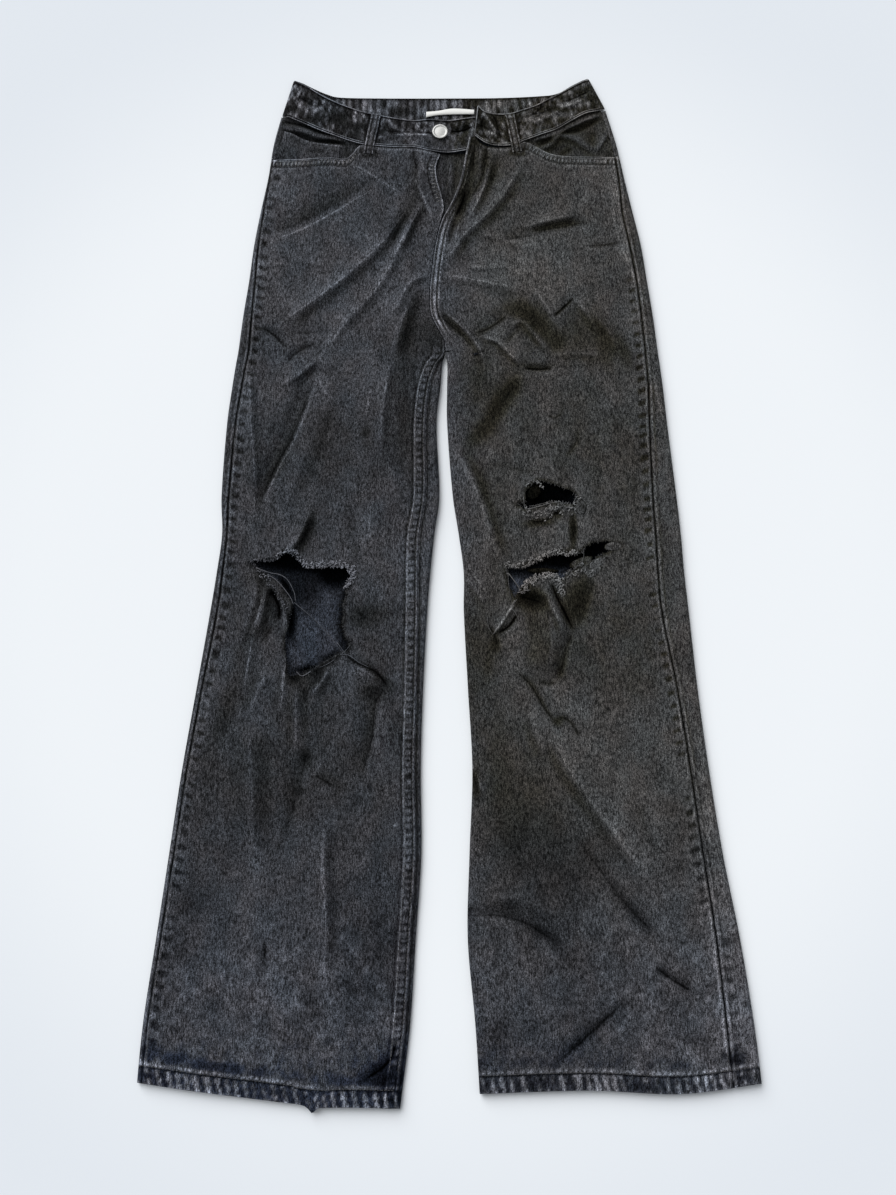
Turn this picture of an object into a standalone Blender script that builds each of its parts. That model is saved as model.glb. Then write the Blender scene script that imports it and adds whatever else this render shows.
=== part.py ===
"""Ripped wide-leg jeans of charcoal denim, laid flat with the fly half open.

The cloth is a wall that follows flattened tubes: one for each leg, joined over the hips. A section
of a tube runs flat along the floor, round a soft roll at the side fold and back over the top, and
the panels are cut from it at the seams. Sides are the wearer's: right is towards -X, the waist is
towards +Y and the fronts face +Z. The tables are in millimetres and the meshes in metres.
"""
import math
from collections import namedtuple

import bmesh
import bpy

MM = 0.001
MIDDLE_X = 1.043         # middle of the laid garment in the tables' millimetres
MIDDLE_Y = 2.88

# Cloth and how it lies
DENIM = 1.2            # wall of one layer of denim
POCKETING = 1.0        # wall of a facing and of the coin pocket
BAND_WALL = 2.4        # two layers
HEM_WALL = 2.0         # turned up and stitched
HEM_DEPTH = 16.5
GAP = 0.3              # between sewn pieces, and between layers that lie on each other
LAID = 6.6             # height of the laid tube, from the floor to the top of the cloth
LOWEST = 4.6           # no trough of the fronts is lower than this
OVER_POCKET = 5.9      # nor than this above the pocket facings
OVER_SHIELD = 6.0      # nor than this above the fly shield
ROLL = 4.0             # half width of the soft roll at a side fold
QUARTER = math.pi / 2 * math.sqrt((ROLL ** 2 + (LAID / 2) ** 2) / 2)
SEAT_LIFT = 1.5        # the seat lies on the two back pockets
SEAT_HALF = 184.0
SEAT_LOW, SEAT_HIGH = 225.0, 404.0
RAMP_X, RAMP_Y = 16.0, 16.0
FORK_Y = 219.0

# A row for each section across one half: x of the side fold, how far the outseam lies inside it
# over the top, x of the inner fold (above the fork, of the centre front seam), and how far the
# inseam lies inside that. A negative inset is on the underside.
Section = namedtuple("Section", "y side outseam inner inseam")
RIGHT_SECTIONS = [
    Section(500, -182, 1.5, 0, 0),
    Section(460, -191, 1.5, 0, 0),
    Section(420, -196, 1.5, 0, 0),
    Section(380, -203, 3.0, 0, 0),
    Section(340, -209, 4.5, -14, 0),
    Section(300, -213, 6.5, -19, 0),
    Section(260, -218, 9.0, -18, 0),
    Section(219, -222, 11.0, -3.8, 0.5),
    Section(180, -227, 10.0, -8, 9.5),
    Section(140, -231, 9.0, -12, 12.0),
    Section(60, -234, 7.5, -9, 15.0),
    Section(20, -232, 5.0, -14, 16.0),
    Section(-20, -236, 6.0, -18, 13.0),
    Section(-60, -241, 7.0, -21, 10.0),
    Section(-140, -252, 5.5, -25, 7.0),
    Section(-220, -263, 4.8, -27, 6.5),
    Section(-300, -272, 4.5, -26, 6.0),
    Section(-380, -281, 4.2, -31, 5.5),
    Section(-460, -290, 4.0, -36, 5.0),
    Section(-535, -294, 4.0, -45, 4.5),
]
LEFT_SECTIONS = [
    Section(500, 174, 5.0, 0, 0),
    Section(460, 184.5, 5.0, 0, 0),
    Section(420, 192, 6.0, 0, 0),
    Section(380, 200, 11.0, 0, 0),
    Section(340, 208, 12.0, -14, 0),
    Section(300, 213, 11.0, -19, 0),
    Section(260, 218, 12.0, -18, 0),
    Section(219, 222, 13.0, -3.4, -5.0),
    Section(180, 226, 15.0, -1, -5.0),
    Section(140, 229, 18.0, -1, -5.0),
    Section(60, 236, 24.0, 5, -5.0),
    Section(20, 239, 25.5, 11, -5.0),
    Section(-20, 241, 26.5, 16, -5.0),
    Section(-60, 244, 27.0, 16, -5.0),
    Section(-140, 250, 20.0, 20, -5.0),
    Section(-220, 258, 18.0, 24, -5.0),
    Section(-300, 268, 19.0, 21, -5.0),
    Section(-380, 281, 22.5, 19, -5.0),
    Section(-460, 291, 26.0, 26, -5.0),
    Section(-525, 296.5, 27.0, 30, -5.0),
]

# Lines across the plan, a row for each bend
Bend = namedtuple("Bend", "x y")
RIGHT_HEM = [
    Bend(-296, -511), Bend(-240, -519), Bend(-160, -528.5), Bend(-125, -534), Bend(-40, -534.5),
]
LEFT_HEM = [Bend(28, -521.5), Bend(135, -518.5), Bend(220, -521.5), Bend(298, -512)]
RIGHT_FRONT_TOP = [                      # pocket mouth, then the waistband seam
    Bend(-194, 442), Bend(-160, 443), Bend(-130, 445), Bend(-112, 443.5), Bend(-104, 450),
    Bend(-97, 459.5), Bend(-79, 458.5), Bend(-60, 457), Bend(-38, 457), Bend(-18, 452.5),
    Bend(-6, 448),
]
LEFT_FRONT_TOP = [                       # waistband seam from the fly, then the pocket mouth
    Bend(22, 471), Bend(30, 469.5), Bend(36, 462.5), Bend(44, 458.5), Bend(66, 457.5),
    Bend(76, 460), Bend(84, 464), Bend(96, 458), Bend(108, 451), Bend(122, 447),
    Bend(150, 446), Bend(186, 445),
]
RIGHT_BAND_SEAM = [Bend(-186, 494), Bend(-176, 493.5), Bend(-140, 477), Bend(-106, 464),
                   Bend(-91, 460), Bend(-70, 458)]
LEFT_BAND_SEAM = [Bend(70, 460), Bend(86, 466), Bend(104, 473), Bend(120, 479), Bend(136, 489),
                  Bend(152, 498), Bend(178, 503)]
BACK_BAND_SEAM = [Bend(-186, 494), Bend(-140, 488), Bend(-100, 484), Bend(0, 480),
                  Bend(100, 483.7), Bend(140, 490.4), Bend(178, 503)]
YOKE_SEAM = [Bend(-200, 445), Bend(-100, 430), Bend(-3, 412), Bend(100, 430), Bend(200, 449)]

# The open edges of the two fronts above the fork, and the centre back seam
Edge = namedtuple("Edge", "y x")
RIGHT_FLY_EDGE = [
    Edge(448, -8.5), Edge(435, -13), Edge(417, -11.5), Edge(401, -7), Edge(385, -4.5),
    Edge(372, -7.5), Edge(350, -12.5), Edge(320, -17), Edge(285, -20), Edge(262, -18.5),
    Edge(245, -11), Edge(232, -4.5), Edge(219, -3.8),
]
LEFT_FLY_EDGE = [
    Edge(471, 23.5), Edge(451, 19.5), Edge(423, 14.5), Edge(398, 6.5), Edge(385, 0.5),
    Edge(372, -6), Edge(350, -12), Edge(320, -16.5), Edge(285, -19.5), Edge(262, -18),
    Edge(245, -10.5), Edge(232, -4.1), Edge(219, -3.4),
]
CENTRE_BACK = [Edge(500, -2), Edge(219, -3.6)]

# The largest folds, as a run over the top of the fronts: a positive height is a ridge. bow is
# how far the middle of the run stands to its left, seen from its start.
Fold = namedtuple("Fold", "name x0 y0 x1 y1 bow height width")
FOLDS = [
    Fold("right_thigh_long_ridge", -180, 246, -34, 404, -4, 4.0, 13),
    Fold("right_thigh_trough", -46, 385, -84, 296, 3, -1.4, 13),
    Fold("right_hip_trough", -202, 345, -78, 412, -5, -1.4, 11),
    Fold("right_hip_rise", -196, 331, -86, 390, -5, 2.0, 14),
    Fold("right_inner_ridge", -36, 292, -67, 150, 8, 2.6, 11),
    Fold("right_knee_trough", -140, 175, -196, 44, 3, -1.4, 13),
    Fold("right_knee_ridge", -124, 172, -176, 40, 4, 2.8, 15),
    Fold("right_rip_ridge", -150, 52, -166, 2, 0, 3.0, 12),
    Fold("right_calf_ridge", -196, -120, -192, -330, 4, 1.8, 18),
    Fold("right_calf_line", -121, -250, -117, -415, 3, 1.6, 15),
    Fold("left_crotch_ridge", -14, 299, 86, 290, 6, 2.6, 13),
    Fold("left_crotch_trough", -10, 274, 22, 240, 0, -1.4, 11),
    Fold("left_thigh_ridge", 36, 240, 84, 202, 5, 2.6, 12),
    Fold("left_thigh_trough", 72, 196, 118, 200, 0, -1.4, 12),
    Fold("left_hip_ridge", 78, 362, 140, 378, 2, 2.4, 13),
    Fold("left_hip_slant", 20, 358, 64, 408, -3, 2.2, 12),
    Fold("left_side_ridge", 138, 282, 186, 212, 3, 2.2, 13),
    Fold("left_knee_long_ridge", 2, 122, 58, -14, 4, 2.8, 13),
    Fold("left_knee_bulge", 100, -52, 96, -124, 0, 4.2, 20),
    Fold("left_knee_trough", 82, -136, 116, -172, 0, -1.4, 13),
    Fold("left_calf_ridge", 108, -190, 182, -312, 5, 3.0, 15),
    Fold("left_calf_trough", 126, -286, 232, -430, -4, -1.4, 14),
    Fold("left_hem_trough", 104, -494, 170, -438, 0, -1.4, 12),
    Fold("left_shin_trough", 22, -358, 116, -390, -7, -1.4, 13),
    Fold("fly_trough", 42, 456, 14, 380, 3, -1.4, 9),
]
FLY_LIP = 2.2          # the fly's edge stands over the button end of the waistband
FLY_LIP_X = (31.0, 43.0)
FLY_LIP_Y = (412.0, 450.0)

# Rips right through the fronts: their outlines in plan
RIGHT_KNEE_RIP = [
    Bend(-206, -9), Bend(-180, -6), Bend(-163, 4), Bend(-145, -12), Bend(-113, -12),
    Bend(-93, -19), Bend(-104, -36), Bend(-108, -75), Bend(-101, -98), Bend(-130, -112),
    Bend(-161, -122), Bend(-164, -88), Bend(-158, -52), Bend(-174, -28), Bend(-192, -17),
]
LEFT_THIGH_HOLE = [
    Bend(70, 53), Bend(79, 56), Bend(81, 69), Bend(92, 78), Bend(108, 75), Bend(122, 69),
    Bend(134, 61), Bend(129, 52), Bend(108, 54), Bend(84, 46),
]
LEFT_KNEE_RIP = [
    Bend(59, -14), Bend(76, -13), Bend(94, -5), Bend(110, 1), Bend(132, 0), Bend(148, 11),
    Bend(164, 13), Bend(177, 9), Bend(160, 0), Bend(146, -8), Bend(128, -17), Bend(116, -27),
    Bend(102, -23), Bend(88, -26), Bend(77, -33), Bend(68, -44), Bend(62, -34),
]

# The waistband, from its button end round the back to its buttonhole end. low is on the seam
# and high on the free edge. z is the height of its outer face, or 0 where it lies on the floor.
Station = namedtuple("Station", "low_x low_y high_x high_y z")
BAND = [
    Station(31, 455, 31, 494, 6.1),
    Station(19, 453.5, 20, 493, 6.1),
    Station(0, 450.8, 0, 490, 6.2),
    Station(-18, 453, -20, 491.5, 6.4),
    Station(-38, 457.5, -38, 490, 6.4),
    Station(-60, 457.5, -60, 493, 6.4),
    Station(-79, 459, -78, 497, 6.4),
    Station(-91, 460.3, -94, 500.5, 6.4),
    Station(-106, 464.3, -110, 506.5, 6.4),
    Station(-124, 471, -124, 512.5, 6.6),
    Station(-140, 477.3, -140, 521, 6.9),
    Station(-158, 485.5, -155, 531, 7.2),
    Station(-176, 493.8, -165, 536.3, 7.4),
    Station(-174, 493.8, -161, 535, 0),
    Station(-158, 491.5, -148, 528, 0),
    Station(-138, 488.3, -134, 521.5, 0),
    Station(-114, 485.8, -118, 517.5, 0),
    Station(-70, 482.5, -70, 516.5, 0),
    Station(0, 480.3, 0, 516.5, 0),
    Station(60, 482, 55, 517, 0),
    Station(104, 484.9, 98, 519, 0),
    Station(130, 489.3, 120, 522, 0),
    Station(150, 494.8, 137, 532, 0),
    Station(165, 500.3, 149, 538.5, 0),
    Station(166, 501.3, 151, 538.8, 7.4),
    Station(152, 498.3, 139, 532.5, 7.2),
    Station(136, 489.3, 119, 520.5, 6.8),
    Station(120, 479.3, 107, 514, 6.4),
    Station(104, 473.3, 97, 508.5, 6.4),
    Station(86, 466.3, 82, 503, 6.6),
    Station(70, 460, 68, 498.5, 6.8),
    Station(54, 459.3, 54, 498, 7.6),
    Station(44, 461.3, 44, 499.5, 8.6),
    Station(36, 466.3, 38, 503, 9),
    Station(29, 472, 33, 509, 9),
]
FOLD_HALF_HEIGHT = 3.5                   # of the waistband's side folds
RIGHT_BAND_FOLD = ((-183, 494), (-171, 538.2))
LEFT_BAND_FOLD = ((173.5, 503), (156, 540.5))
BAND_CREASE = 0.8                        # depth of the crease along the middle of the band
ACROSS_BAND = (0.0, 0.45, 0.65, 1.0)

# What lies on the panels
LOOP_WIDTH = 10.5
LOOP_WALL = 1.6
LOOP_ARCH = 0.6
LOOP_TAIL = 7.0                          # how far a loop's end passes the waistband seam
RIGHT_LOOP = ((-84.5, 459.5), (-77.5, 497.0))
LEFT_LOOP = ((74.5, 461.5), (67.5, 498.0))
UNDER_RIGHT_LOOP, UNDER_LEFT_LOOP = 6.4, 7.0
BUTTON_AT = (-8.7, 476.5)
BUTTON_BASE = 6.2 + GAP                  # on the waistband
BUTTON_SIDES = 14
Turned = namedtuple("Turned", "radius height")
BUTTON = [                               # its neck, then its rimmed and slightly domed cap
    Turned(3.5, 0.0), Turned(3.5, 1.0), Turned(7.8, 1.1), Turned(8.5, 1.7), Turned(8.4, 2.4),
    Turned(7.6, 2.7), Turned(6.8, 2.45), Turned(4.0, 3.0), Turned(2.0, 3.2),
]
LABEL_LOW = [Bend(-24, 493.5), Bend(5, 497), Bend(29, 497.3)]
LABEL_HIGH = [Bend(-24, 500), Bend(5, 504), Bend(29, 502.5)]
LABEL_WALL = 0.6
SHIELD_TOP, SHIELD_BOTTOM = 449.5, 374.0
SHIELD_OVERLAP = 10.0                    # how far the fly shield runs under each front
SHIELD_HEIGHT = 4.3
FACING_INSET = 5.0                       # from the side fold to a facing's outer edge
FACING_BOTTOM = 424.0
FACING_REACH = 10.0                      # how far a facing runs in past the pocket's corner
FACING_UNDER = 3.1                       # height of its top face under the front
MOUTH_RISE, SIDE_RISE = 0.7, 2.2         # how far it rises in the open mouth, and at the side
RIGHT_POCKET_CORNER, LEFT_POCKET_CORNER = -98.0, 86.0
COIN_EDGE = -119.0
COIN_TOP = [Bend(-186, 474), Bend(-160, 470), Bend(-140, 462), Bend(-118, 458)]
COIN_BOTTOM = 429.0
COIN_INSET = 10.0
COIN_PROUD = 0.6                         # its clearance over the facing's coarser faces
BACK_POCKET = [                          # outline of the right one, measured from the centre
    Bend(38, 391), Bend(160, 395), Bend(154, 278), Bend(98, 260), Bend(44, 276),
]

DENIM_COLOUR = (0.085, 0.087, 0.092)
INSIDE_COLOUR = (0.10, 0.11, 0.13)
BUTTON_COLOUR = (0.72, 0.71, 0.66)
LABEL_COLOUR = (0.86, 0.86, 0.83)


def read(rows, key, value, at):
    """The value column of a table at a place on its key column, on a smooth curve."""
    rows = sorted(rows, key=lambda row: getattr(row, key))
    xs = [getattr(row, key) for row in rows]
    ys = [getattr(row, value) for row in rows]
    at = min(max(at, xs[0]), xs[-1])
    i = max(k for k in range(len(xs) - 1) if xs[k] <= at)
    span = xs[i + 1] - xs[i]

    def slope(k):
        a, b = max(k - 1, 0), min(k + 1, len(xs) - 1)
        return (ys[b] - ys[a]) / (xs[b] - xs[a])

    t = (at - xs[i]) / span
    return (
        (2 * t ** 3 - 3 * t ** 2 + 1) * ys[i]
        + (t ** 3 - 2 * t ** 2 + t) * span * slope(i)
        + (3 * t ** 2 - 2 * t ** 3) * ys[i + 1]
        + (t ** 3 - t ** 2) * span * slope(i + 1)
    )


def line(rows, x):
    """y of a line across the plan at x."""
    return read(rows, "x", "y", x)


def mix(a, b, t):
    return a + (b - a) * t


def step(low, high, value):
    """0 below low, 1 above high, smooth between them."""
    t = min(max((value - low) / (high - low), 0.0), 1.0)
    return t * t * (3 - 2 * t)


def fold_height(fold, x, y):
    """What one fold adds at x, y: a soft profile across its run, fading at both ends."""
    run_x, run_y = fold.x1 - fold.x0, fold.y1 - fold.y0
    length = math.hypot(run_x, run_y)
    along = ((x - fold.x0) * run_x + (y - fold.y0) * run_y) / length ** 2
    aside = ((y - fold.y0) * run_x - (x - fold.x0) * run_y) / length
    inside = min(max(along, 0.0), 1.0)
    aside -= fold.bow * 4 * inside * (1 - inside)
    beyond = (along - inside) * length
    fade = math.sqrt(max(math.sin(math.pi * mix(0.08, 0.92, inside)), 0.0))
    return fold.height * fade * math.exp(-(aside ** 2 + beyond ** 2) / fold.width ** 2)


def top(x, y):
    """Height of the top face of the fronts."""
    height = LAID + sum(fold_height(fold, x, y) for fold in FOLDS)
    over_pocket = step(405, 425, y) * step(70, 90, abs(x + 5))
    over_shield = step(350, 370, y) * (1 - step(36, 50, abs(x)))
    height = max(height, mix(LOWEST, OVER_POCKET, over_pocket),
                 mix(LOWEST, OVER_SHIELD, over_shield))
    if x > 0:
        lip = step(*FLY_LIP_Y, y) * (1 - step(*FLY_LIP_X, x))
        height += FLY_LIP * lip
    return height


def floor(x, y):
    """Height of the underside of the backs: zero but over the back pockets."""
    across = 1 - step(SEAT_HALF, SEAT_HALF + RAMP_X, abs(x))
    along = step(SEAT_LOW - RAMP_Y, SEAT_LOW, y) * (1 - step(SEAT_HIGH, SEAT_HIGH + RAMP_Y, y))
    return SEAT_LIFT * across * along


class Half:
    """One half of the jeans: the tube of a leg, open to the other half above the fork."""

    def __init__(self, sections, front_edge):
        self.sections = sections
        self.front_edge = front_edge
        self.inward = 1 if sections[0].side < 0 else -1

    def row(self, column, y):
        """A column of the sections at y, straight between the knots that the pieces share."""
        above = next((k for k in range(1, len(KNOTS)) if KNOTS[k] >= y), len(KNOTS) - 1)
        low, high = KNOTS[above - 1], KNOTS[above]
        return mix(read(self.sections, "y", column, low),
                   read(self.sections, "y", column, high), (y - low) / (high - low))

    def width(self, y, edge=None):
        """Plan width from the side fold to the inner fold, or to an edge above the fork."""
        inner = self.row("inner", y) if y < FORK_Y else read(edge, "y", "x", y)
        return abs(inner - self.row("side", y))

    def round(self, inset):
        """Length along the cloth, from the extreme of a roll, to a point inset from it."""
        size = abs(inset)
        if size < ROLL:
            length = QUARTER * math.acos(1 - size / ROLL) / (math.pi / 2)
        else:
            length = QUARTER + size - ROLL
        return math.copysign(length, inset)

    def front_end(self, y):
        """Length over the top from the side fold to the front's inner edge."""
        width = self.width(y, self.front_edge)
        if y >= FORK_Y:
            return QUARTER + width - ROLL
        return 2 * QUARTER + width - 2 * ROLL - self.round(self.row("inseam", y))

    def back_end(self, y):
        """Length under the tube from the side fold to the back's inner edge."""
        width = self.width(y, CENTRE_BACK)
        if y >= FORK_Y:
            return QUARTER + width - ROLL
        return 2 * QUARTER + width - 2 * ROLL + self.round(self.row("inseam", y))

    def point(self, y, length, wall, edge):
        """Point of the tube at a length from the side fold: over the top, or below if negative.

        wall is the distance in from the outer face."""
        side = self.row("side", y)
        width = self.width(y, edge)
        upper = length >= 0
        run = abs(length)
        flat = width - 2 * ROLL
        if run < QUARTER:
            plan, turn = ROLL, 1 - run / QUARTER
        elif y >= FORK_Y or run < QUARTER + flat:
            plan, turn = ROLL + run - QUARTER, 0.0
        else:
            plan, turn = ROLL + flat, -(run - QUARTER - flat) / QUARTER
        if turn < -1.0:
            # past the inner fold, on the other face
            back_plan = ROLL + flat - (-turn - 2) * QUARTER
            if turn < -2.0:
                plan, turn = back_plan, 0.0
                upper = not upper
        x = side + self.inward * plan
        lid = top(x, y)
        base = floor(x, y)
        if turn == 0.0:
            return (x, y, lid - wall if upper else base + wall)
        half = lid / 2
        angle = abs(turn) * math.pi / 2
        reach = (ROLL - wall) * math.sin(angle)
        lift = (half - wall) * math.cos(angle)
        x += -self.inward * reach if turn > 0 else self.inward * reach
        return (x, y, half + lift if upper else half - lift)


RIGHT = Half(RIGHT_SECTIONS, RIGHT_FLY_EDGE)
LEFT = Half(LEFT_SECTIONS, LEFT_FLY_EDGE)


def material(name, colour, roughness, metallic=0.0):
    made = bpy.data.materials.new(name)
    made.use_nodes = True
    shader = made.node_tree.nodes["Principled BSDF"]
    shader.inputs["Base Color"].default_value = (*colour, 1)
    shader.inputs["Roughness"].default_value = roughness
    shader.inputs["Metallic"].default_value = metallic
    return made


def add_object(name, mesh, made_of):
    mesh.materials.append(made_of)
    obj = bpy.data.objects.new(name, mesh)
    bpy.context.scene.collection.objects.link(obj)
    return obj


def vertex(form, point):
    x, y, z = point
    return form.verts.new(((x - MIDDLE_X) * MM, (y - MIDDLE_Y) * MM, z * MM))


def sheet(name, rows, made_of, smooth=True):
    """A closed wall from rows of (outer, inner) pairs of points."""
    form = bmesh.new()
    outer = [[vertex(form, pair[0]) for pair in row] for row in rows]
    inner = [[vertex(form, pair[1]) for pair in row] for row in rows]
    last_row, last_column = len(rows) - 1, len(rows[0]) - 1
    for i in range(last_row):
        for j in range(last_column):
            form.faces.new((outer[i][j], outer[i + 1][j], outer[i + 1][j + 1], outer[i][j + 1]))
            form.faces.new((inner[i][j], inner[i][j + 1], inner[i + 1][j + 1], inner[i + 1][j]))
    for i in range(last_row):
        for j in (0, last_column):
            form.faces.new((outer[i][j], inner[i][j], inner[i + 1][j], outer[i + 1][j]))
    for j in range(last_column):
        for i in (0, last_row):
            form.faces.new((outer[i][j], inner[i][j], inner[i][j + 1], outer[i][j + 1]))
    bmesh.ops.recalc_face_normals(form, faces=form.faces)
    mesh = bpy.data.meshes.new(name)
    form.to_mesh(mesh)
    form.free()
    if smooth:
        mesh.shade_smooth()
        mesh.set_sharp_from_angle(angle=math.radians(50))
    return add_object(name, mesh, made_of)


def levels(*stretches):
    """Places from several (first, last, count) stretches, each without its last place."""
    places = []
    for first, last, count in stretches:
        places += [mix(first, last, k / count) for k in range(count)]
    return places + [stretches[-1][1]]


BACK_ROWS = levels((-480, -160, 5), (-160, 200, 8), (200, 212, 1), (212, 225, 1), (225, 405, 5))
KNOTS = [-540.0] + BACK_ROWS + [447.0, 500.0, 545.0]
FRONT_ROWS = sorted(BACK_ROWS + [mix(low, high, 0.5) for low, high in zip(BACK_ROWS, BACK_ROWS[1:])
                                 if high - low > 20])
HEM_STEP = 1.0
FRONT_COLUMNS = levels((0, 0.07, 1), (0.07, 0.94, 8), (0.94, 1, 3))
BACK_FLAT = (0.13, 0.42, 0.71)            # shares of the flat between the two rolls
BACK_COLUMNS = 13
SETTLE = 4                               # passes that bend a row to the line it follows
Row = namedtuple("Row", "y_of wall")      # a function of x, and the wall there


def front_panel(name, half, hem, top_line, made_of):
    """The front of one leg, from the hem to the pocket mouth and the waistband seam."""
    high = FRONT_ROWS[-1]

    def share_of_top(share):
        return lambda x: mix(high, line(top_line, x) - GAP, share)

    def pair(y, fraction, wall):
        start = half.round(half.row("outseam", y)) + GAP / 2
        end = half.front_end(y) - GAP / 2
        length = mix(start, end, fraction)
        edge = half.front_edge
        return half.point(y, length, 0, edge), half.point(y, length, wall, edge)

    rows = hem_rows(hem) + [Row(lambda x, y=y: y, DENIM) for y in FRONT_ROWS]
    rows += [Row(share_of_top(share), DENIM) for share in (0.34, 0.67, 1.0)]
    pairs = []
    for row_of in rows:
        pairs.append([])
        for fraction in FRONT_COLUMNS:
            y = row_of.y_of(half.inward * -100)
            for _ in range(SETTLE):
                y = row_of.y_of(pair(y, fraction, 0)[0][0])
            pairs[-1].append(pair(y, fraction, row_of.wall))
    return sheet(name, pairs, made_of)


def back_columns(half, y, start, end):
    """Lengths round the back of the tube: close together over the rolls, wide on the flat."""
    at_side = [start, min(start * 0.6, QUARTER), 0, -QUARTER * 0.5, -QUARTER]
    if y < FORK_Y and half.row("inseam", y) > 0.6:
        extreme = end - half.round(half.row("inseam", y))
        at_inner = [extreme - QUARTER, extreme - QUARTER * 0.5, extreme, mix(extreme, end, 0.5), end]
    else:
        at_inner = [end - 14, end - 10, end - 6, end - 3, end]
    first, last = -QUARTER, -at_inner[0]
    flat = [mix(first, last, share) for share in BACK_FLAT]
    return at_side + flat + [-place for place in at_inner]


def back_rows(half, rows, outseam_of):
    """The pairs of points of a back piece, a row for each Row, each bent to its own line."""
    pairs = []
    for row_of in rows:
        pairs.append([])
        for column in range(BACK_COLUMNS):
            y = row_of.y_of(0)
            for _ in range(SETTLE):
                start = outseam_of(y) - GAP / 2
                end = half.back_end(y) - GAP / 2
                length = back_columns(half, y, start, end)[column]
                y = row_of.y_of(half.point(y, length, 0, CENTRE_BACK)[0])
            pairs[-1].append((half.point(y, length, 0, CENTRE_BACK),
                              half.point(y, length, row_of.wall, CENTRE_BACK)))
    return pairs


def hem_rows(hem):
    """The rows of a turned-up hem."""
    return [
        Row(lambda x: line(hem, x), HEM_WALL),
        Row(lambda x: line(hem, x) + HEM_DEPTH, HEM_WALL),
        Row(lambda x: line(hem, x) + HEM_DEPTH + HEM_STEP, DENIM),
    ]


def back_panel(name, half, hem, made_of):
    """The back of one leg, from the hem to the yoke, with its strips round the side folds."""
    rows = hem_rows(hem) + [Row(lambda x, y=y: y, DENIM) for y in BACK_ROWS]
    rows.append(Row(lambda x: line(YOKE_SEAM, x) - GAP / 2, DENIM))
    return sheet(name, back_rows(half, rows, lambda y: half.round(half.row("outseam", y))), made_of)


def yoke(name, half, made_of):
    """The piece between the back panel and the waistband, round to the pocket facing."""
    def across(share):
        return lambda x: mix(line(YOKE_SEAM, x) + GAP / 2, line(BACK_BAND_SEAM, x) - GAP, share)

    rows = [Row(across(share), DENIM) for share in levels((0, 1, 3))]
    return sheet(name, back_rows(half, rows, lambda y: half.round(FACING_INSET)), made_of)


def facing_top(half, mouth, x, y):
    """Height of the top face of a pocket facing: low under the front, higher in the open mouth."""
    open_part = step(line(mouth, x) - 1, line(mouth, x) + 12, y)
    near_side = 1 - step(6, 30, abs(x - half.row("side", y)))
    return FACING_UNDER + open_part * mix(MOUTH_RISE, SIDE_RISE, near_side)


def pocket_facing(name, half, mouth, band_seam, corner, made_of):
    """The cloth that shows in a front pocket's mouth, from under the front to the waistband."""
    rows = []
    for share in levels((0, 0.3, 1), (0.3, 1, 5)):
        row = []
        for k in range(8):
            across = k / 7
            inner_x = corner + half.inward * FACING_REACH
            y = mix(FACING_BOTTOM, 480, share)
            for _ in range(4):
                outer_x = half.row("side", y) + half.inward * (FACING_INSET + GAP)
                x = mix(outer_x, inner_x, across)
                y = mix(FACING_BOTTOM, line(band_seam, x) - GAP, share)
            z = facing_top(half, mouth, x, y)
            row.append(((x, y, z), (x, y, z - POCKETING)))
        rows.append(row)
    return sheet(name, rows, made_of)


def coin_pocket(made_of):
    """The small pocket on the right facing, made from the facing's points, moved out."""
    rows = []
    for share in levels((0, 0.3, 1), (0.3, 1, 4)):
        row = []
        for k in range(6):
            y = mix(COIN_BOTTOM, 465, share)
            for _ in range(4):
                outer_x = RIGHT.row("side", y) + COIN_INSET
                x = mix(outer_x, COIN_EDGE, k / 5)
                y = mix(COIN_BOTTOM, line(COIN_TOP, x), share)
            z = facing_top(RIGHT, RIGHT_FRONT_TOP, x, y) + COIN_PROUD + POCKETING
            row.append(((x, y, z), (x, y, z - POCKETING)))
        rows.append(row)
    return sheet("coin_pocket", rows, made_of)


def fly_shield(made_of):
    """The piece behind the open fly, under both fronts and below the waistband."""
    rows = []
    for share in levels((0, 1, 6)):
        y = mix(SHIELD_BOTTOM, SHIELD_TOP, share)
        overlap = SHIELD_OVERLAP * mix(0.35, 1, step(0, 0.4, share))
        low_x = read(RIGHT_FLY_EDGE, "y", "x", y) - overlap
        high_x = read(LEFT_FLY_EDGE, "y", "x", y) + overlap
        row = []
        for k in range(5):
            x = mix(low_x, high_x, k / 4)
            row.append(((x, y, SHIELD_HEIGHT), (x, y, SHIELD_HEIGHT - DENIM)))
        rows.append(row)
    return sheet("fly_shield", rows, made_of)


def band_stations():
    """The waistband's sections: (low, high, outward) with the two side folds turned round."""
    sections = []
    for index, station in enumerate(BAND):
        low, high = (station.low_x, station.low_y), (station.high_x, station.high_y)
        if station.z > 0:
            sections.append((low, high, station.z, (0, 0, 1)))
        else:
            sections.append((low, high, 0.0, (0, 0, -1)))
        following = BAND[(index + 1) % len(BAND)]
        turns = index + 1 < len(BAND) and (station.z == 0) != (following.z == 0)
        if not turns:
            continue
        ends = RIGHT_BAND_FOLD if low[0] < 0 else LEFT_BAND_FOLD
        upward = following.z > 0
        for angle in (40, 90, 140):
            tilt = math.radians(angle)
            out = math.sin(tilt)
            up = -math.cos(tilt) if upward else math.cos(tilt)
            base = (low, high) if angle <= 90 else (
                (following.low_x, following.low_y), (following.high_x, following.high_y))
            pair = [tuple(mix(base[k][axis], ends[k][axis], out) for axis in (0, 1))
                    for k in (0, 1)]
            side = -1 if low[0] < 0 else 1
            sections.append((pair[0], pair[1], FOLD_HALF_HEIGHT * (1 + up), (side * out, 0, up)))
    return sections


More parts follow.
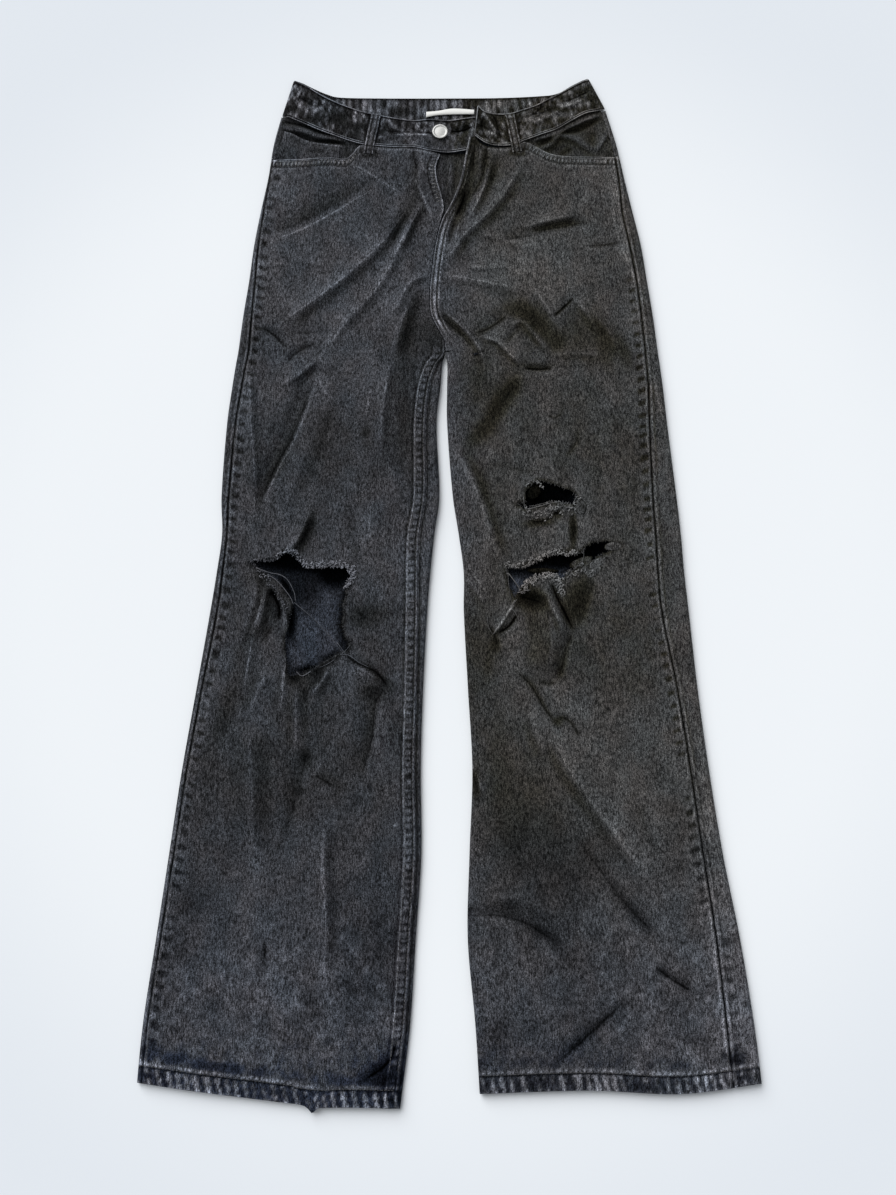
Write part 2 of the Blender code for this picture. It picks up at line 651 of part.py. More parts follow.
def waistband(made_of):
    """One strip of two layers, creased along its middle."""
    rows = []
    for low, high, z, outward in band_stations():
        row = []
        for share in ACROSS_BAND:
            crease = BAND_CREASE if share == 0.45 and outward == (0, 0, 1) else 0.0
            x, y = mix(low[0], high[0], share), mix(low[1], high[1], share)
            outer = (x, y, z - crease)
            inner = (x - outward[0] * BAND_WALL, y, z - outward[2] * BAND_WALL)
            row.append((outer, inner))
        rows.append(row)
    return sheet("waistband", rows, made_of)


def belt_loop(name, ends, height, made_of):
    """A strip over the front of the waistband, its lower end past the seam."""
    (low_x, low_y), (high_x, high_y) = ends
    length = math.hypot(high_x - low_x, high_y - low_y)
    along = ((high_x - low_x) / length, (high_y - low_y) / length)
    across = (along[1], -along[0])
    rows = []
    for place in (-LOOP_TAIL, 0.0, 0.25 * length, 0.5 * length, 0.75 * length, length):
        arch = LOOP_ARCH * math.sin(math.pi * min(max(place / length, 0), 1))
        row = []
        for side in (-0.5, 0.5):
            x = low_x + along[0] * place + across[0] * side * LOOP_WIDTH
            y = low_y + along[1] * place + across[1] * side * LOOP_WIDTH
            z = height + GAP + LOOP_WALL + arch
            row.append(((x, y, z), (x, y, z - LOOP_WALL)))
        rows.append(row)
    return sheet(name, rows, made_of, smooth=False)


def inner_label(made_of):
    """The blank label on the inside of the back of the waistband."""
    rows = []
    for k in range(7):
        x = mix(LABEL_LOW[0].x, LABEL_LOW[-1].x, k / 6)
        row = []
        for y in (line(LABEL_LOW, x), line(LABEL_HIGH, x)):
            z = BAND_WALL + GAP + LABEL_WALL
            row.append(((x, y, z), (x, y, z - LABEL_WALL)))
        rows.append(row)
    return sheet("inner_label", rows, made_of, smooth=False)


def waist_button(made_of):
    """A turned shank button: a short neck under a rimmed, slightly domed cap."""
    form = bmesh.new()
    rings = []
    for turned in BUTTON:
        ring = []
        for k in range(BUTTON_SIDES):
            angle = 2 * math.pi * k / BUTTON_SIDES
            x = BUTTON_AT[0] + turned.radius * math.cos(angle)
            y = BUTTON_AT[1] + turned.radius * math.sin(angle)
            ring.append(vertex(form, (x, y, BUTTON_BASE + turned.height)))
        rings.append(ring)
    for low, high in zip(rings, rings[1:]):
        for k in range(BUTTON_SIDES):
            after = (k + 1) % BUTTON_SIDES
            form.faces.new((low[k], low[after], high[after], high[k]))
    form.faces.new(rings[0])
    form.faces.new(rings[-1])
    bmesh.ops.recalc_face_normals(form, faces=form.faces)
    mesh = bpy.data.meshes.new("waist_button")
    form.to_mesh(mesh)
    form.free()
    mesh.shade_smooth()
    mesh.set_sharp_from_angle(angle=math.radians(50))
    return add_object("waist_button", mesh, made_of)


def prism(name, outline, low, high, made_of=None):
    """A straight solid on an outline in plan."""
    form = bmesh.new()
    lower = [vertex(form, (bend.x, bend.y, low)) for bend in outline]
    upper = [vertex(form, (bend.x, bend.y, high)) for bend in outline]
    form.faces.new(lower)
    form.faces.new(upper)
    for k in range(len(outline)):
        after = (k + 1) % len(outline)
        form.faces.new((lower[k], lower[after], upper[after], upper[k]))
    bmesh.ops.recalc_face_normals(form, faces=form.faces)
    mesh = bpy.data.meshes.new(name)
    form.to_mesh(mesh)
    form.free()
    return add_object(name, mesh, made_of)


def back_pocket(name, side, made_of):
    """A plain patch under the seat, flush with the floor."""
    outline = [Bend(side * bend.x - 3, bend.y) for bend in BACK_POCKET]
    return prism(name, outline, 0.0, DENIM, made_of)


def rip(panel, name, outline):
    """Cuts a rip right through a front."""
    cutter = prism(name, outline, LAID - 20, LAID + 20)
    cutter.hide_render = True
    cutter.display_type = "WIRE"
    cut = panel.modifiers.new(name, "BOOLEAN")
    cut.operation = "DIFFERENCE"
    cut.solver = "EXACT"
    cut.object = cutter


def build():
    for old in list(bpy.data.objects):
        bpy.data.objects.remove(old)

    def denim(name):
        return material(name, DENIM_COLOUR, 0.9)

    right = front_panel("front_right", RIGHT, RIGHT_HEM, RIGHT_FRONT_TOP, denim("denim_1"))
    left = front_panel("front_left", LEFT, LEFT_HEM, LEFT_FRONT_TOP, denim("denim_2"))
    rip(right, "right_knee_cut", RIGHT_KNEE_RIP)
    rip(left, "left_thigh_cut", LEFT_THIGH_HOLE)
    rip(left, "left_knee_cut", LEFT_KNEE_RIP)
    back_panel("back_right", RIGHT, RIGHT_HEM, denim("denim_3"))
    back_panel("back_left", LEFT, LEFT_HEM, denim("denim_4"))
    yoke("yoke_right", RIGHT, denim("denim_5"))
    yoke("yoke_left", LEFT, denim("denim_6"))
    back_pocket("back_pocket_right", -1, denim("denim_7"))
    back_pocket("back_pocket_left", 1, denim("denim_8"))
    waistband(denim("denim_9"))
    belt_loop("belt_loop_right", RIGHT_LOOP, UNDER_RIGHT_LOOP, denim("denim_10"))
    belt_loop("belt_loop_left", LEFT_LOOP, UNDER_LEFT_LOOP, denim("denim_11"))
    pocket_facing("pocket_facing_right", RIGHT, RIGHT_FRONT_TOP, RIGHT_BAND_SEAM,
                  RIGHT_POCKET_CORNER, material("facing_1", INSIDE_COLOUR, 0.9))
    pocket_facing("pocket_facing_left", LEFT, LEFT_FRONT_TOP, LEFT_BAND_SEAM,
                  LEFT_POCKET_CORNER, material("facing_2", INSIDE_COLOUR, 0.9))
    coin_pocket(denim("denim_12"))
    fly_shield(denim("denim_13"))
    waist_button(material("button_metal", BUTTON_COLOUR, 0.35, 1.0))
    inner_label(material("label_cloth", LABEL_COLOUR, 0.8))


build()
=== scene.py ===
"""Looks of the ripped jeans, laid flat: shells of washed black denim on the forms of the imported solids.

Lengths are millimetres on the table the garment lies on; the meshes are in metres in the frame of
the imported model. Sides are the wearer's: the right leg is towards -X.
"""

import math
from collections import namedtuple

import bpy
import numpy as np
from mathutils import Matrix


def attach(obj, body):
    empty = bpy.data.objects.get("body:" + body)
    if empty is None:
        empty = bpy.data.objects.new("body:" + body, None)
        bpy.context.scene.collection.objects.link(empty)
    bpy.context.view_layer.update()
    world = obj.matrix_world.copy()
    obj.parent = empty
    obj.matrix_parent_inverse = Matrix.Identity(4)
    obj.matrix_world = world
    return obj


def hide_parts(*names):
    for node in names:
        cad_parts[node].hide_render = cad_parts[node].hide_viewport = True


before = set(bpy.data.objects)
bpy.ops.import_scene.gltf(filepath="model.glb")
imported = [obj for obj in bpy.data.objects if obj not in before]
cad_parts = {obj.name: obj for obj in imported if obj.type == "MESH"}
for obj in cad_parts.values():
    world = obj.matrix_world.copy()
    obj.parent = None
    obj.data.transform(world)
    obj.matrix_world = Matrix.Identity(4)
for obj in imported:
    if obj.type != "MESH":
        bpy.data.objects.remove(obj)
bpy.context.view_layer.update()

# ------------------------------------------------------------------------------- named sizes
MM = 0.001
MIDDLE_X, MIDDLE_Y = 1.043, 2.88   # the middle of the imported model, in table millimetres
CLOTH = 1.0                    # one layer of denim
BAND_CLOTH = 2.1               # the waistband's folded layers
BAND_DEPTH = 37.5
HEM_DEPTH = 16.5
HEM_Y, FRONT_Y, BACK_Y, BAND_Y = -520.0, 450.0, 430.0, 484.0   # first guesses, settled on the seams
LAID = 6.6                     # height of the two layers of a leg with the air between them
ROLL = 4.0                     # how far the round of a side fold reaches in plan
QUARTER = math.pi / 2 * math.sqrt((ROLL ** 2 + (LAID / 2) ** 2) / 2)   # cloth round half a fold
FORK_Y = 219.0                 # below this the two legs are apart
FELL = 11.0                    # width of a felled seam's band
CELL = 2.2                     # spacing of the fronts' grid
FOLD_RISE = 1.95               # the fold table's heights are raised by this, the highest ones by less
STEEP = 0.72                   # a fold's right side, away from the light, is narrowed to this
FACET = 40.0                   # how far the broad shading beside a fold reaches
TONE_GAIN = 1.7                # how strongly the tone, from worn cloth and painted shade, lightens or darkens the cloth
LINE_WIDTH = 0.90              # half the width of the line along a fold's crest: pale where worn, dark where shade is painted
EYE = (0.0, -278.0, 1192.0)    # where the camera stands over the table
CAMERA_TILT = 11.02            # how far the camera leans towards the waist, in degrees
LINE_REACH = 4.6               # a fold's pale or dark line is drawn no further than this from its middle
SEAT_LIFT = 1.5                # how far the two back pockets lift the seat
SEAT_HALF = 184.0
SEAT_LOW, SEAT_HIGH = 225.0, 404.0
RAMP = 16.0                    # over which the lift fades
LOOP_HALF = 5.2                # half the width of a belt loop
BUTTON_X, BUTTON_Y, BUTTON_Z = -8.7, 476.5, 6.5
LABEL_ENDS = (-24, 29)
COIN_RIGHT = -119.0            # the coin pocket's inner edge
THREAD_STEPS = 5               # points along a stitch or a broken thread

# ------------------------------------------------------------------------------- form tables
def rows_of(kind, *rows):
    """A table: each row becomes one of its kind."""
    return [kind(*row) for row in rows]


Section = namedtuple("Section", "y side outseam inner inseam")
RIGHT_SECTIONS = rows_of(
    Section,
    (500, -182, 1.5, 0, 0), (460, -191, 1.5, 0, 0), (420, -196, 1.5, 0, 0), (380, -203, 3.0, 0, 0),
    (340, -209, 4.5, -14, 0), (300, -213, 6.5, -19, 0), (260, -218, 9.0, -18, 0),
    (219, -222, 11.0, -3.8, 0.5), (205, -224, 10.6, -6.0, 6.5), (180, -227, 10.0, -8, 12.0),
    (140, -231, 9.0, -12, 12.0), (60, -234, 7.5, -9, 15.0), (20, -232, 5.0, -14, 16.0),
    (-20, -236, 6.0, -18, 13.0), (-60, -241, 7.0, -21, 10.0), (-140, -252, 5.5, -25, 7.0),
    (-220, -263, 4.8, -27, 6.5), (-300, -272, 4.5, -26, 6.0), (-380, -281, 4.2, -31, 5.5),
    (-460, -290, 4.0, -36, 5.0), (-535, -294, 4.0, -45, 4.5),
)
LEFT_SECTIONS = rows_of(
    Section,
    (500, 174, 5.0, 0, 0), (460, 184.5, 5.0, 0, 0), (420, 192, 6.0, 0, 0), (380, 200, 11.0, 0, 0),
    (340, 208, 12.0, -14, 0), (300, 213, 11.0, -19, 0), (260, 218, 12.0, -18, 0),
    (219, 222, 13.0, -3.4, -5.0), (205, 223.5, 13.7, -0.8, -5.0), (180, 226, 15.0, -1, -5.0),
    (140, 229, 18.0, -1, -5.0), (60, 236, 24.0, 5, -5.0), (20, 239, 25.5, 11, -5.0),
    (-20, 241, 26.5, 16, -5.0), (-60, 244, 27.0, 16, -5.0), (-140, 250, 20.0, 20, -5.0),
    (-220, 258, 18.0, 24, -5.0), (-300, 268, 19.0, 21, -5.0), (-380, 281, 22.5, 19, -5.0),
    (-460, 291, 26.0, 26, -5.0), (-525, 296.5, 27.0, 30, -5.0),
)
Bend = namedtuple("Bend", "x y")
RIGHT_HEM = rows_of(
    Bend,
    (-296, -511), (-240, -519), (-160, -528.5), (-133, -532.5), (-128, -538.5), (-122, -534),
    (-40, -534.5),
)
LEFT_HEM = rows_of(
    Bend,
    (28, -521.5), (135, -518.5), (220, -521.5), (298, -512),
)
RIGHT_FRONT_TOP = rows_of(
    Bend,
    (-194, 442), (-160, 443), (-130, 445), (-112, 443.5), (-104, 450), (-97, 459.5), (-79, 458.5),
    (-60, 457), (-38, 457), (-18, 452.5), (-6, 448),
)
LEFT_FRONT_TOP = rows_of(
    Bend,
    (22, 471), (30, 469.5), (36, 462.5), (44, 458.5), (66, 457.5), (76, 460), (84, 464), (96, 458),
    (108, 451), (122, 447), (150, 446), (186, 445),
)
RIGHT_BAND_SEAM = rows_of(
    Bend,
    (-186, 494), (-176, 493.5), (-140, 477), (-106, 464), (-91, 460), (-70, 458),
)
LEFT_BAND_SEAM = rows_of(
    Bend,
    (70, 460), (86, 466), (104, 473), (120, 479), (136, 489), (152, 498), (178, 503),
)
BACK_BAND_SEAM = rows_of(
    Bend,
    (-186, 494), (-140, 488), (-100, 484), (0, 480), (100, 483.7), (140, 490.4), (178, 503),
)
YOKE_SEAM = rows_of(
    Bend,
    (-200, 445), (-100, 430), (-3, 412), (100, 430), (200, 449),
)
Edge = namedtuple("Edge", "y x")
RIGHT_FLY_EDGE = rows_of(
    Edge,
    (448, -8.5), (435, -13), (417, -11.5), (401, -7), (385, -4.5), (372, -7.5), (350, -12.5), (320, -17),
    (285, -20), (262, -18.5), (245, -11), (232, -4.5), (219, -3.8),
)
LEFT_FLY_EDGE = rows_of(
    Edge,
    (471, 23.5), (451, 19.5), (423, 14.5), (398, 6.5), (385, 0.5), (372, -6), (350, -12), (320, -16.5),
    (285, -19.5), (262, -18), (245, -10.5), (232, -4.1), (219, -3.4),
)
CENTRE_BACK = [Edge(500, -2), Edge(219, -3.6)]
RIGHT_KNEE_RIP = rows_of(
    Bend,
    (-206, -9), (-180, -6), (-163, 4), (-145, -12), (-113, -12), (-93, -19), (-104, -36), (-108, -75),
    (-101, -98), (-128, -114), (-146, -124), (-161, -124), (-164, -88), (-158, -52), (-174, -28),
    (-192, -17),
)
LEFT_THIGH_HOLE = rows_of(
    Bend,
    (70, 53), (79, 56), (81, 69), (92, 78), (108, 75), (122, 69), (134, 61), (129, 52), (108, 54),
    (84, 46),
)
LEFT_KNEE_RIP = rows_of(
    Bend,
    (59, -14), (76, -13), (94, -5), (110, 1), (132, 0), (148, 11), (164, 13), (177, 9), (160, 0),
    (146, -8), (128, -17), (116, -27), (102, -23), (88, -26), (77, -33), (68, -44), (62, -34),
)
Station = namedtuple("Station", "low_x low_y high_x high_y z")
# over the right front, from the button end to the side fold
BAND_RIGHT = rows_of(
    Station,
    (31, 455, 31, 494, 6.1), (19, 453.5, 20, 493, 6.1), (0, 450.8, 0, 490, 6.2),
    (-18, 453, -20, 491.5, 6.4), (-38, 457.5, -38, 490, 6.4), (-60, 457.5, -60, 493, 6.4),
    (-79, 459, -78, 497, 6.4), (-91, 460.3, -94, 500.5, 6.4), (-106, 464.3, -110, 506.5, 6.4),
    (-124, 471, -124, 512.5, 6.6), (-140, 477.3, -140, 521, 6.9), (-158, 485.5, -155, 531, 7.2),
    (-176, 493.8, -165, 536.3, 7.4),
)
# along the back, on the floor
BAND_BACK = rows_of(
    Station,
    (-174, 493.8, -161, 535, 0), (-158, 491.5, -148, 528, 0), (-138, 488.3, -134, 521.5, 0),
    (-114, 485.8, -118, 517.5, 0), (-70, 482.5, -70, 516.5, 0), (0, 480.3, 0, 516.5, 0),
    (60, 482, 55, 517, 0), (104, 484.9, 98, 519, 0), (130, 489.3, 120, 522, 0), (150, 494.8, 137, 532, 0),
    (165, 500.3, 149, 538.5, 0),
)
# over the left front, to the buttonhole end
BAND_LEFT = rows_of(
    Station,
    (166, 501.3, 151, 538.8, 7.4), (152, 498.3, 139, 532.5, 7.2), (136, 489.3, 119, 520.5, 6.8),
    (120, 479.3, 107, 514, 6.4), (104, 473.3, 97, 508.5, 6.4), (86, 466.3, 82, 503, 6.6),
    (70, 460, 68, 498.5, 6.8), (54, 459.3, 54, 498, 7.6), (44, 461.3, 44, 499.5, 8.6),
    (36, 466.3, 38, 503, 9), (29, 472, 33, 509, 9),
)
RIGHT_BAND_FOLD = ((-183, 494), (-171, 538.2))
LEFT_BAND_FOLD = ((173.5, 503), (156, 540.5))

# ------------------------------------------------------------------------------- folds
# A fold runs along its path. height lifts its crest; left and right are how far each side of it
# reaches; the last column lightens the line of its crest where the cloth is worn pale, and below 0 darkens it
# as painted shade in troughs and beside folds.
Crease = namedtuple("Crease", "path height left right wear")
RIGHT_CREASES = rows_of(
    Crease,
    ([(-80, -509), (-66, -501), (-54, -490), (-48, -472)], -2.2, 5, 5, -1.0),
    ([(-184, 247), (-160, 266), (-120, 297), (-80, 335), (-60, 360), (-45, 385),
     (-38, 408)], 2.4, 19, 10, 0.24),
    ([(-130, 215), (-115, 245), (-95, 270), (-80, 287), (-65, 312), (-50, 348),
     (-29, 400)], 1.5, 6, 8, 0.22),
    ([(-196, 352), (-162, 367), (-127, 387), (-98, 407), (-74, 420)], -2.8, 13, 8, -0.10),
    ([(-60, 262), (-54, 272), (-45, 292), (-34, 303), (-18, 308)], 1.6, 5, 7, 0.2),
    ([(-57, 212), (-50, 250), (-42, 275), (-34, 296)], 2.4, 9, 11, 0.16),
    ([(-194, 40), (-191, 62), (-179, 92), (-164, 122), (-152, 155), (-141, 190)], -4.2, 10, 6, -0.30),
    ([(-172, 44), (-154, 92), (-140, 130), (-124, 176)], 1.2, 12, 13, 0.04),
    ([(-171, 205), (-160, 218), (-140, 229)], -1.6, 4, 6, -0.30),
    ([(-176, 182), (-156, 196), (-137, 214)], 1.28, 4, 6, 0.20),
    ([(-160, 176), (-150, 188), (-138, 199), (-120, 190)], -1.2, 5, 8, -0.22),
    ([(-168, 240), (-145, 241), (-118, 244)], -1.2, 5, 7, -0.20),
    ([(-196, 246), (-180, 234), (-170, 222)], -1.3, 4, 5, -0.35),
    ([(-166, 2), (-160, 8), (-150, 25), (-142, 48)], 3.2, 7, 8, 0.24),
    ([(-95, -6), (-95, 56)], -1.4, 10, 12, -0.06),
    ([(-70, 96), (-70, 130), (-67, 170), (-60, 216)], 1.6, 6, 8, 0.18),
    ([(-201, 26), (-200, 70), (-203, 110), (-207, 150), (-211, 216)], 1.2, 5, 6, 0.2),
    ([(-190, -304), (-193, -250), (-197, -190), (-198, -165)], 2.0, 12, 16, 0.05),
    ([(-118, -416), (-117, -385), (-120, -330), (-122, -262)], 1.6, 7, 9, 0.10),
    ([(-87, -234), (-82, -212), (-76, -190), (-74, -168), (-72, -152),
     (-61, -137)], -3.0, 11, 4, -0.34),
    ([(-161, -284), (-153, -258), (-147, -238), (-142, -212), (-136, -190)], -2.0, 8, 7, -0.16),
    ([(-138, -146), (-128, -133), (-119, -119)], 1.8, 5, 6, 0.34),
    ([(-182, -121), (-190, -140), (-199, -166)], 1.6, 6, 7, 0.2),
    ([(-166, -112), (-165, -135), (-168, -166)], 1.2, 5, 6, 0.26),
    ([(-152, -138), (-152, -160), (-151, -206)], 1.3, 5, 7, 0.2),
    ([(-137, -146), (-137, -168), (-136, -192)], 0.8, 4, 6, 0.12),
    ([(-106, -102), (-95, -111), (-80, -118), (-70, -124), (-60, -138)], -2.2, 3, 3, -0.85),
    ([(-142, -124), (-126, -112), (-104, -101)], 1.6, 4, 4, 0.3),
    ([(-212, -100), (-204, -74), (-196, -40), (-200, -16)], 2.4, 9, 10, 0.16),
    ([(-194, -84), (-188, -56), (-186, -30)], 2.2, 6, 7, 0.2),
    ([(-181, -36), (-176, -46), (-171, -58), (-172, -70)], -3.4, 4.4, 4.6, -1.4),
    ([(-162, -92), (-163, -72), (-169, -52), (-177, -38), (-188, -26)], 2.0, 3, 3, 0.22),
    ([(-190, -94), (-177, -74)], -1.6, 7, 7, -0.3),
    ([(-120, -20), (-92, -58), (-76, -84)], -1.0, 12, 12, -0.10),
    ([(-30, 446), (-31, 424), (-28, 400), (-20, 380), (-14, 360)], 1.4, 4, 5, 0.15),
    ([(-52, 334), (-46, 350), (-40, 366), (-27, 394)], 1.8, 5, 6, 0.22),
    ([(-60, 342), (-54, 358), (-44, 380)], -1.8, 6, 5, -0.3),
)
LEFT_CREASES = rows_of(
    Crease,
    ([(-8, 303), (10, 305), (40, 299), (86, 290)], 1.28, 5, 9, 0.17),
    ([(-8, 317), (5, 335), (20, 357), (40, 376), (60, 401), (74, 428), (79, 446)], 2.2, 10, 9, 0.20),
    ([(82, 362), (110, 371), (142, 378)], 2.2, 8, 8, 0.20),
    ([(90, 357), (120, 362), (154, 369)], -1.8, 5, 6, -0.28),
    ([(56, 352), (74, 350), (94, 353)], -1.4, 6, 6, -0.2),
    ([(148, 340), (166, 341), (187, 344)], -1.0, 3, 3, -0.35),
    ([(-6, 267), (8, 254), (22, 240), (33, 224), (39, 204)], 1.8, 5, 6, 0.26),
    ([(-12, 262), (2, 250), (16, 236), (26, 222)], -2.6, 6, 6, -0.25),
    ([(24, 237), (44, 246), (64, 261)], -1.28, 5, 6, -0.50),
    ([(40, 352), (62, 347), (84, 352)], -1.2, 4, 6, -0.14),
    ([(34, 237), (50, 232), (62, 221), (79, 202)], 3.0, 9, 5, 0.26),
    ([(80, 201), (94, 199.5), (111, 200.5)], -2.4, 3.4, 4, -0.9),
    ([(112, 259), (122, 268), (134, 280)], -2.2, 3, 3, -1.1),
    ([(136, 281), (148, 262), (160, 240)], 2.0, 5, 6, 0.14),
    ([(150, 270), (168, 246), (186, 212)], 1.8, 7, 8, 0.06),
    ([(95, 290), (106, 268), (119, 247)], 1.28, 5, 6, 0.15),
    ([(64, 245), (78, 254), (92, 238), (109, 217)], 1.9, 5, 5, 0.24),
    ([(60, 228), (70, 240), (78, 246)], -1.2, 5, 5, -0.20),
    ([(108, 217), (135, 218), (168, 216)], 1.2, 5, 7, 0.10), ([(20, 316), (60, 316)], 0.9, 4, 5, 0.15),
    ([(30, 358), (52, 349), (82, 343)], 1.4, 6, 6, 0.15),
    ([(74, 190), (50, 152), (22, 116)], -1.25, 9, 12, -0.06),
    ([(56, -12), (50, 2), (40, 35), (31, 62), (20, 90), (4, 117)], 2.2, 9, 9, 0.22),
    ([(136, 134), (133, 118), (121, 101)], -1.3, 4, 5, -0.25),
    ([(38, 96), (62, 92), (96, 84)], -1.2, 7, 8, -0.16),
    ([(98, -46), (104, -84), (98, -126)], 4.6, 22, 20, 0.0),
    ([(127, -80), (119, -97), (116, -112), (109, -132)], -2.6, 4, 10, -0.34),
    ([(109, -132), (100, -134), (92, -131)], -1.4, 5, 5, -0.3),
    ([(97, -38), (104, -52), (112, -68), (117, -86)], 2.4, 7, 5, 0.2),
    ([(105, -30), (111, -46), (118, -61), (127, -80)], -3.6, 3.8, 4.2, -1.3),
    ([(68, -120), (84, -137), (96, -158), (109, -176)], -2.6, 5, 6, -0.5),
    ([(106, -172), (114, -167.5), (124, -175), (132, -190)], -2.0, 4, 5, -0.5),
    ([(98, -176), (108, -196), (120, -220), (139, -248), (160, -278), (182, -308),
     (200, -336)], 2.6, 13, 10, 0.15),
    ([(84, -160), (88, -182), (98, -208)], 1.6, 9, 9, 0.1),
    ([(194, -240), (203, -274), (222, -322)], 1.4, 12, 12, 0.06),
    ([(60, -258), (70, -290), (84, -318)], 1.4, 12, 12, 0.06),
    ([(122, -282), (145, -312), (165, -340), (185, -362), (208, -383)], -3.0, 9, 10, -0.26),
    ([(198, -406), (214, -418), (233, -429)], -2.2, 5, 6, -0.5),
    ([(101, -495), (120, -480), (140, -463), (169, -437)], -1.28, 5, 5, -0.42),
    ([(22, -359), (50, -359), (75, -366), (95, -378), (114, -388)], -2.2, 6, 7, -0.3),
    ([(24, -346), (60, -342), (92, -352), (124, -374)], 1.1, 9, 8, 0.08),
    ([(22, -210), (29, -226), (36, -246)], 1.4, 5, 5, 0.26),
    ([(71, -62), (62, -75), (50, -83)], -2.2, 3, 3, -1.0),
    ([(44, -84), (52, -75), (62, -60), (68, -50)], 1.4, 3, 3, 0.45),
    ([(42, -76), (47, -84), (50, -97)], -1.6, 4, 5, -0.5),
    ([(150, -26), (143, -45), (136, -64), (127, -82)], -1.8, 4, 9, -0.16),
    ([(72, -44), (86, -48), (96, -52)], -2.2, 6, 6, -0.5),
    ([(18, -24), (28, -36), (40, -56)], 1.2, 6, 6, 0.12),
    ([(28, 466), (24, 440), (16, 410), (8, 388)], -1.2, 5, 5, -0.25),
    ([(8, 392), (18, 415), (22, 434), (24, 452)], 2.0, 4, 5, 0.2),
    ([(40, 452), (38, 425), (26, 398)], -2.0, 4, 5, -0.4),
    ([(22, 372), (34, 398), (42, 420), (46, 446)], 2.2, 5, 6, 0.25),
    ([(54, 450), (52, 430), (46, 410)], -1.4, 6, 8, -0.2),
    ([(19, 404), (15, 390), (8, 374)], -2.8, 5, 5, -0.9),
    ([(8, 372), (4, 358), (1, 342)], -1.6, 4, 4, -0.3),
    ([(8, 344), (10, 360), (14, 374)], 1.2, 4, 5, 0.15),
)
Line = namedtuple("Line", "wear path")
# fine lines with next to no height: pale where the cloth is worn, dark where shade is painted
RIGHT_LINES = rows_of(
    Line,
    (0.32, [(-186, -30), (-189, -48), (-196, -80), (-201, -112), (-205, -142)]),
    (0.25, [(-178, -30), (-171, -44), (-167, -60), (-166, -78)]),
    (0.28, [(-164, -98), (-164, -118), (-167, -145)]), (-0.40, [(-38, 457), (-37, 444), (-33, 428)]),
    (0.22, [(-31, 454), (-29, 440), (-26, 426)]),
    (0.22, [(-195, 345), (-160, 359), (-125, 379), (-95, 399), (-72, 412)]),
    (0.26, [(-112, 441), (-95, 432), (-80, 422), (-60, 408), (-50, 402)]),
    (0.24, [(-38, 425), (-28, 400), (-20, 385)]), (-0.35, [(-202, 247), (-190, 242), (-176, 228)]),
    (0.11, [(-49, 268), (-56, 240), (-62, 205), (-66, 180), (-69, 150), (-70, 118)]),
    (0.10, [(-108, 274), (-121, 247), (-134, 212)]),
    (0.24, [(-190, 45), (-187, 62), (-175, 92), (-160, 122), (-148, 155), (-137, 190)]),
    (0.18, [(-137, 190), (-120, 155)]), (0.18, [(-165, 185), (-150, 200), (-135, 212)]),
    (0.20, [(-80, 186), (-84, 160), (-88, 140)]), (0.18, [(-82, 46), (-80, 14)]),
    (0.24, [(-184, -28), (-189, -60), (-200, -80), (-202, -106)]),
    (0.20, [(-199, -168), (-197, -190), (-195, -220), (-193, -250), (-190, -300)]),
    (0.26, [(-122, -258), (-122, -300), (-123, -318), (-119, -350), (-117, -385), (-119, -414)]),
    (0.22, [(-134, -226), (-125, -212)]), (-0.40, [(-133, -224), (-122, -230), (-111, -236)]),
    (-0.40, [(-176, -386), (-176, -401)]), (0.22, [(-96, -116), (-84, -121), (-74, -127)]),
)
LEFT_LINES = rows_of(
    Line,
    (-0.45, [(30, 464), (28, 446), (27, 428)]), (0.22, [(36, 458), (35, 444), (34, 428)]),
    (-0.40, [(42, 462), (42, 446), (44, 430)]), (0.20, [(25, 454), (22, 440), (19, 426)]),
    (-0.55, [(82, 36), (92, 33.5), (104, 37), (112, 43), (118, 40)]),
    (-0.50, [(107, 41), (113, 44), (119, 39)]), (-0.30, [(103, 149), (112, 146), (121, 152)]),
    (0.16, [(78, 120), (90, 106), (104, 92)]),
    (0.13, [(181, 400), (180, 375), (184, 350), (195, 318), (203, 291), (206, 262)]),
    (0.16, [(94, 112), (104, 98), (115, 83)]), (0.18, [(26, -20), (35, -35), (40, -44)]),
    (0.14, [(150, -262), (162, -276), (176, -298)]),
    (0.45, [(218, 196), (219, 176), (222, 160), (227, 138)]),
)
BAND_CREASES = rows_of(
    Crease,
    ([(-74, 478), (-57, 476), (-38, 475), (-22, 474.5), (-8, 474.5)], -0.7, 1.8, 1.8, -0.55),
    ([(-62, 472.3), (-42, 472.8), (-14, 472.8)], 0.4, 1.6, 1.6, 0.28),
    ([(2, 476), (12, 476), (22, 479.5), (29, 484)], -2.4, 3, 3, -1.1),
    ([(52, 466), (51, 478), (47, 487), (38, 503)], 1.8, 4, 4, 0.30),
    ([(66, 477), (60, 486), (49, 498)], 1.6, 4, 4, 0.26),
    ([(40, 498), (37, 482), (42, 468)], -1.6, 4, 4, -0.5),
    ([(50, 497), (54, 484), (58, 466)], -1.8, 4, 4, -0.6),
    ([(60, 500), (66, 486), (70, 470)], 1.4, 4, 4, 0.25),
    ([(60, 470), (46, 478), (34, 486)], -1.2, 4, 4, -0.3),
    ([(88, 494), (98, 500), (108, 511)], -0.8, 2.4, 2.4, -0.55),
    ([(92, 491), (110, 502), (124, 507)], -0.8, 2.6, 2.6, -0.45),
    ([(126, 512), (142, 518), (160, 528)], -1.0, 3, 3, -0.65),
    ([(86, 484), (110, 495), (136, 510), (160, 519)], 0.8, 4, 4, 0.2),
    ([(-168, 519), (-155, 512), (-148, 507), (-132, 512)], -0.8, 3, 3, -0.45),
    ([(-176, 514), (-160, 520), (-144, 512)], 0.7, 4, 4, 0.2),
)


